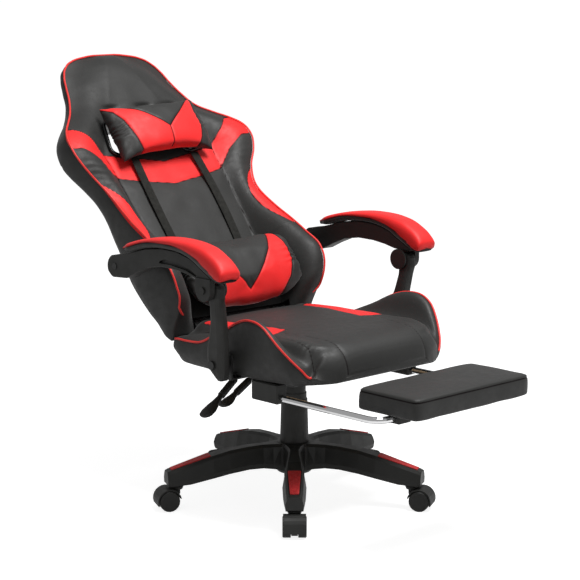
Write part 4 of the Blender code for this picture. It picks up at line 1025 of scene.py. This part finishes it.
FOOT_POINTS = 132
FOOT_POWER = 24             # how square the cover's outline is
FOOT_SEAM = 0.0405          # height of the seam round the cover
FOOT_EDGE, FOOT_EDGE_INSET, FOOT_CROWN = 0.0480, 0.0070, 0.0035
FOOT_LEVELS = ((0.0082, 0.0135), (0.0, 0.0135), (0.0, 0.0035), (0.0020, 0.0008), (0.0060, 0.0),
               (0.0200, -0.0004), (0.0320, 0.0), (0.0385, 0.0008), (0.0405, 0.0022), (0.0415, 0.0018),
               (0.0440, 0.0020), (0.0465, 0.0040), (FOOT_EDGE, FOOT_EDGE_INSET))   # height, inset
FOOT_TOP_SHARES = (0.88, 0.74, 0.56, 0.36, 0.14)


def build_footrest_pad(finishes):
    """Box cushion, with a pocket in its underside for the board."""
    low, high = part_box("footrest_pad")
    centre, half, tall = (low + high) / 2, (high - low) / 2, high.z - low.z
    x, y = square_ring(np.linspace(0, 2 * pi, FOOT_POINTS, endpoint=False))

    def ring(inset, share, height):
        return np.column_stack([centre.x + x * (half.x - inset) * share,
                                centre.y + y * (half.y - inset) * share,
                                np.full(FOOT_POINTS, low.z + height)])

    rows = [ring(inset, 1, height) for height, inset in FOOT_LEVELS]
    rows += [ring(FOOT_EDGE_INSET, share, min(FOOT_EDGE + FOOT_CROWN * (1 - share**2), tall))
             for share in FOOT_TOP_SHARES]
    pad = skin("footrest_pad_cover", np.array(rows), finishes["leather_black"])
    places = places_of(pad)
    height = places[:, 2] - low.z
    past_x = np.abs(places[:, 0] - centre.x) - half.x
    past_y = np.abs(places[:, 1] - centre.y) - half.y
    corner = (height < 0.78 * tall) & (np.abs(past_x) + np.abs(past_y) < 0.02)
    corner_seam = np.where(corner, np.abs(past_x - past_y), FAR)
    set_field(pad, "seam", np.minimum(np.abs(height - FOOT_SEAM), corner_seam))
    set_field(pad, "red", np.full(len(places), -1.0))
    move(pad, wrinkle(places, 0.05, 6.0) * 0.0011)
    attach(pad, "footrest_pad")
    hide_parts("footrest_pad")


def square_ring(angles):
    """A rounded square of half size 1, at the given angles."""
    c, s = np.cos(angles), np.sin(angles)
    radius = (np.abs(c) ** FOOT_POWER + np.abs(s) ** FOOT_POWER) ** (-1 / FOOT_POWER)
    return c * radius, s * radius


# ---- the frame's own pieces ----------------------------------------------------------------------
# finish: how its nodes' names start. The other nodes are black plastic.
FRAME_LOOKS = {
    "base": ("base_star",),
    "tread": ("base_tread",),
    "wheel": ("caster_wheels",),
    "steel_black": ("gas_lift_tube", "mechanism", "recline_bracket", "arm_mount", "arm_bracket",
                    "back_frame"),
    "steel_bright": ("piston_rod", "pressure_tube", "recline_axle"),
    "chrome": ("footrest_tube",),
    "wood": ("seat_board",),
}
EDGE_ANGLE = radians(38)
FINE_EDGE, EDGE = 0.0007, 0.0011


def dress_frame(frame, finishes):
    """Finishes and softly rounded edges of the frame's own pieces."""
    for name, node in frame["nodes"].items():
        finish = next((look for look, starts in FRAME_LOOKS.items() if name.startswith(starts)), "plastic")
        node.data.materials.clear()
        node.data.materials.append(finishes[finish])
        node.data.polygons.foreach_set("material_index", [0] * len(node.data.polygons))
        step = node.modifiers.new("edges", "BEVEL")
        step.width = FINE_EDGE if name.startswith(("base_tread", "caster")) else EDGE
        step.segments = 2
        step.limit_method = "ANGLE"
        step.angle_limit = EDGE_ANGLE
        step.harden_normals = False
        node.data.shade_smooth()
        node.data.set_sharp_from_angle(angle=EDGE_ANGLE)


# ---- stage ---------------------------------------------------------------------------------------
def pale_floor():
    """Plain pale floor: it also glows by itself, but only for the camera and in reflections."""
    look = Finish("floor", (0.48, 0.48, 0.48), 0.9, specular=0.05)
    look.set("Emission Color", (1, 1, 1, 1))
    rays = look.node("ShaderNodeLightPath")
    seen = look.ramp(rays.outputs["Is Camera Ray"], 0, 1, 0, 0.86)
    mirrored_in = look.ramp(rays.outputs["Is Glossy Ray"], 0, 1, 0, 0.34)
    look.link(look.maths("MAXIMUM", seen, mirrored_in), look.shader.inputs["Emission Strength"])
    return look.material


def build_stage():
    """Floor, studio light and camera."""
    corners = [(x * FLOOR_REACH, y * FLOOR_REACH, 0) for x, y in ((-1, -1), (1, -1), (1, 1), (-1, 1))]
    floor = new_piece("floor", corners, [(0, 1, 2, 3)], pale_floor(), smooth=False)

    world = bpy.data.worlds.new("studio")
    bpy.context.scene.world = world
    world.use_nodes = True
    sky = world.node_tree.nodes["Background"]
    sky.inputs["Color"].default_value = (1, 1, 1, 1)
    sky.inputs["Strength"].default_value = SKY_STRENGTH

    lamp = bpy.data.lights.new("key", "AREA")
    lamp.energy = KEY_POWER
    lamp.size = KEY_SIZE
    key = link_object("key", lamp)
    key.location = KEY_PLACE
    key.rotation_euler = (Vector(KEY_AIM) - Vector(KEY_PLACE)).to_track_quat("-Z", "Y").to_euler()

    camera = link_object("camera", bpy.data.cameras.new("camera"))
    camera.data.lens = CAMERA_LENS
    camera.data.sensor_width = CAMERA_SENSOR
    camera.location = CAMERA_PLACE
    camera.rotation_euler = CAMERA_TURN
    bpy.context.scene.camera = camera
    bpy.context.scene.view_settings.view_transform = "Standard"


def main():
    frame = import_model()
    finishes = make_finishes()
    dress_frame(frame, finishes)
    build_back(finishes)
    build_liners(finishes)
    build_straps(finishes)
    build_pillow(finishes)
    build_lumbar(finishes)
    build_seat(finishes)
    for side, sign in (("left", 1), ("right", -1)):
        build_arm_pad(side, sign, finishes)
    build_footrest_pad(finishes)
    build_stage()


main()
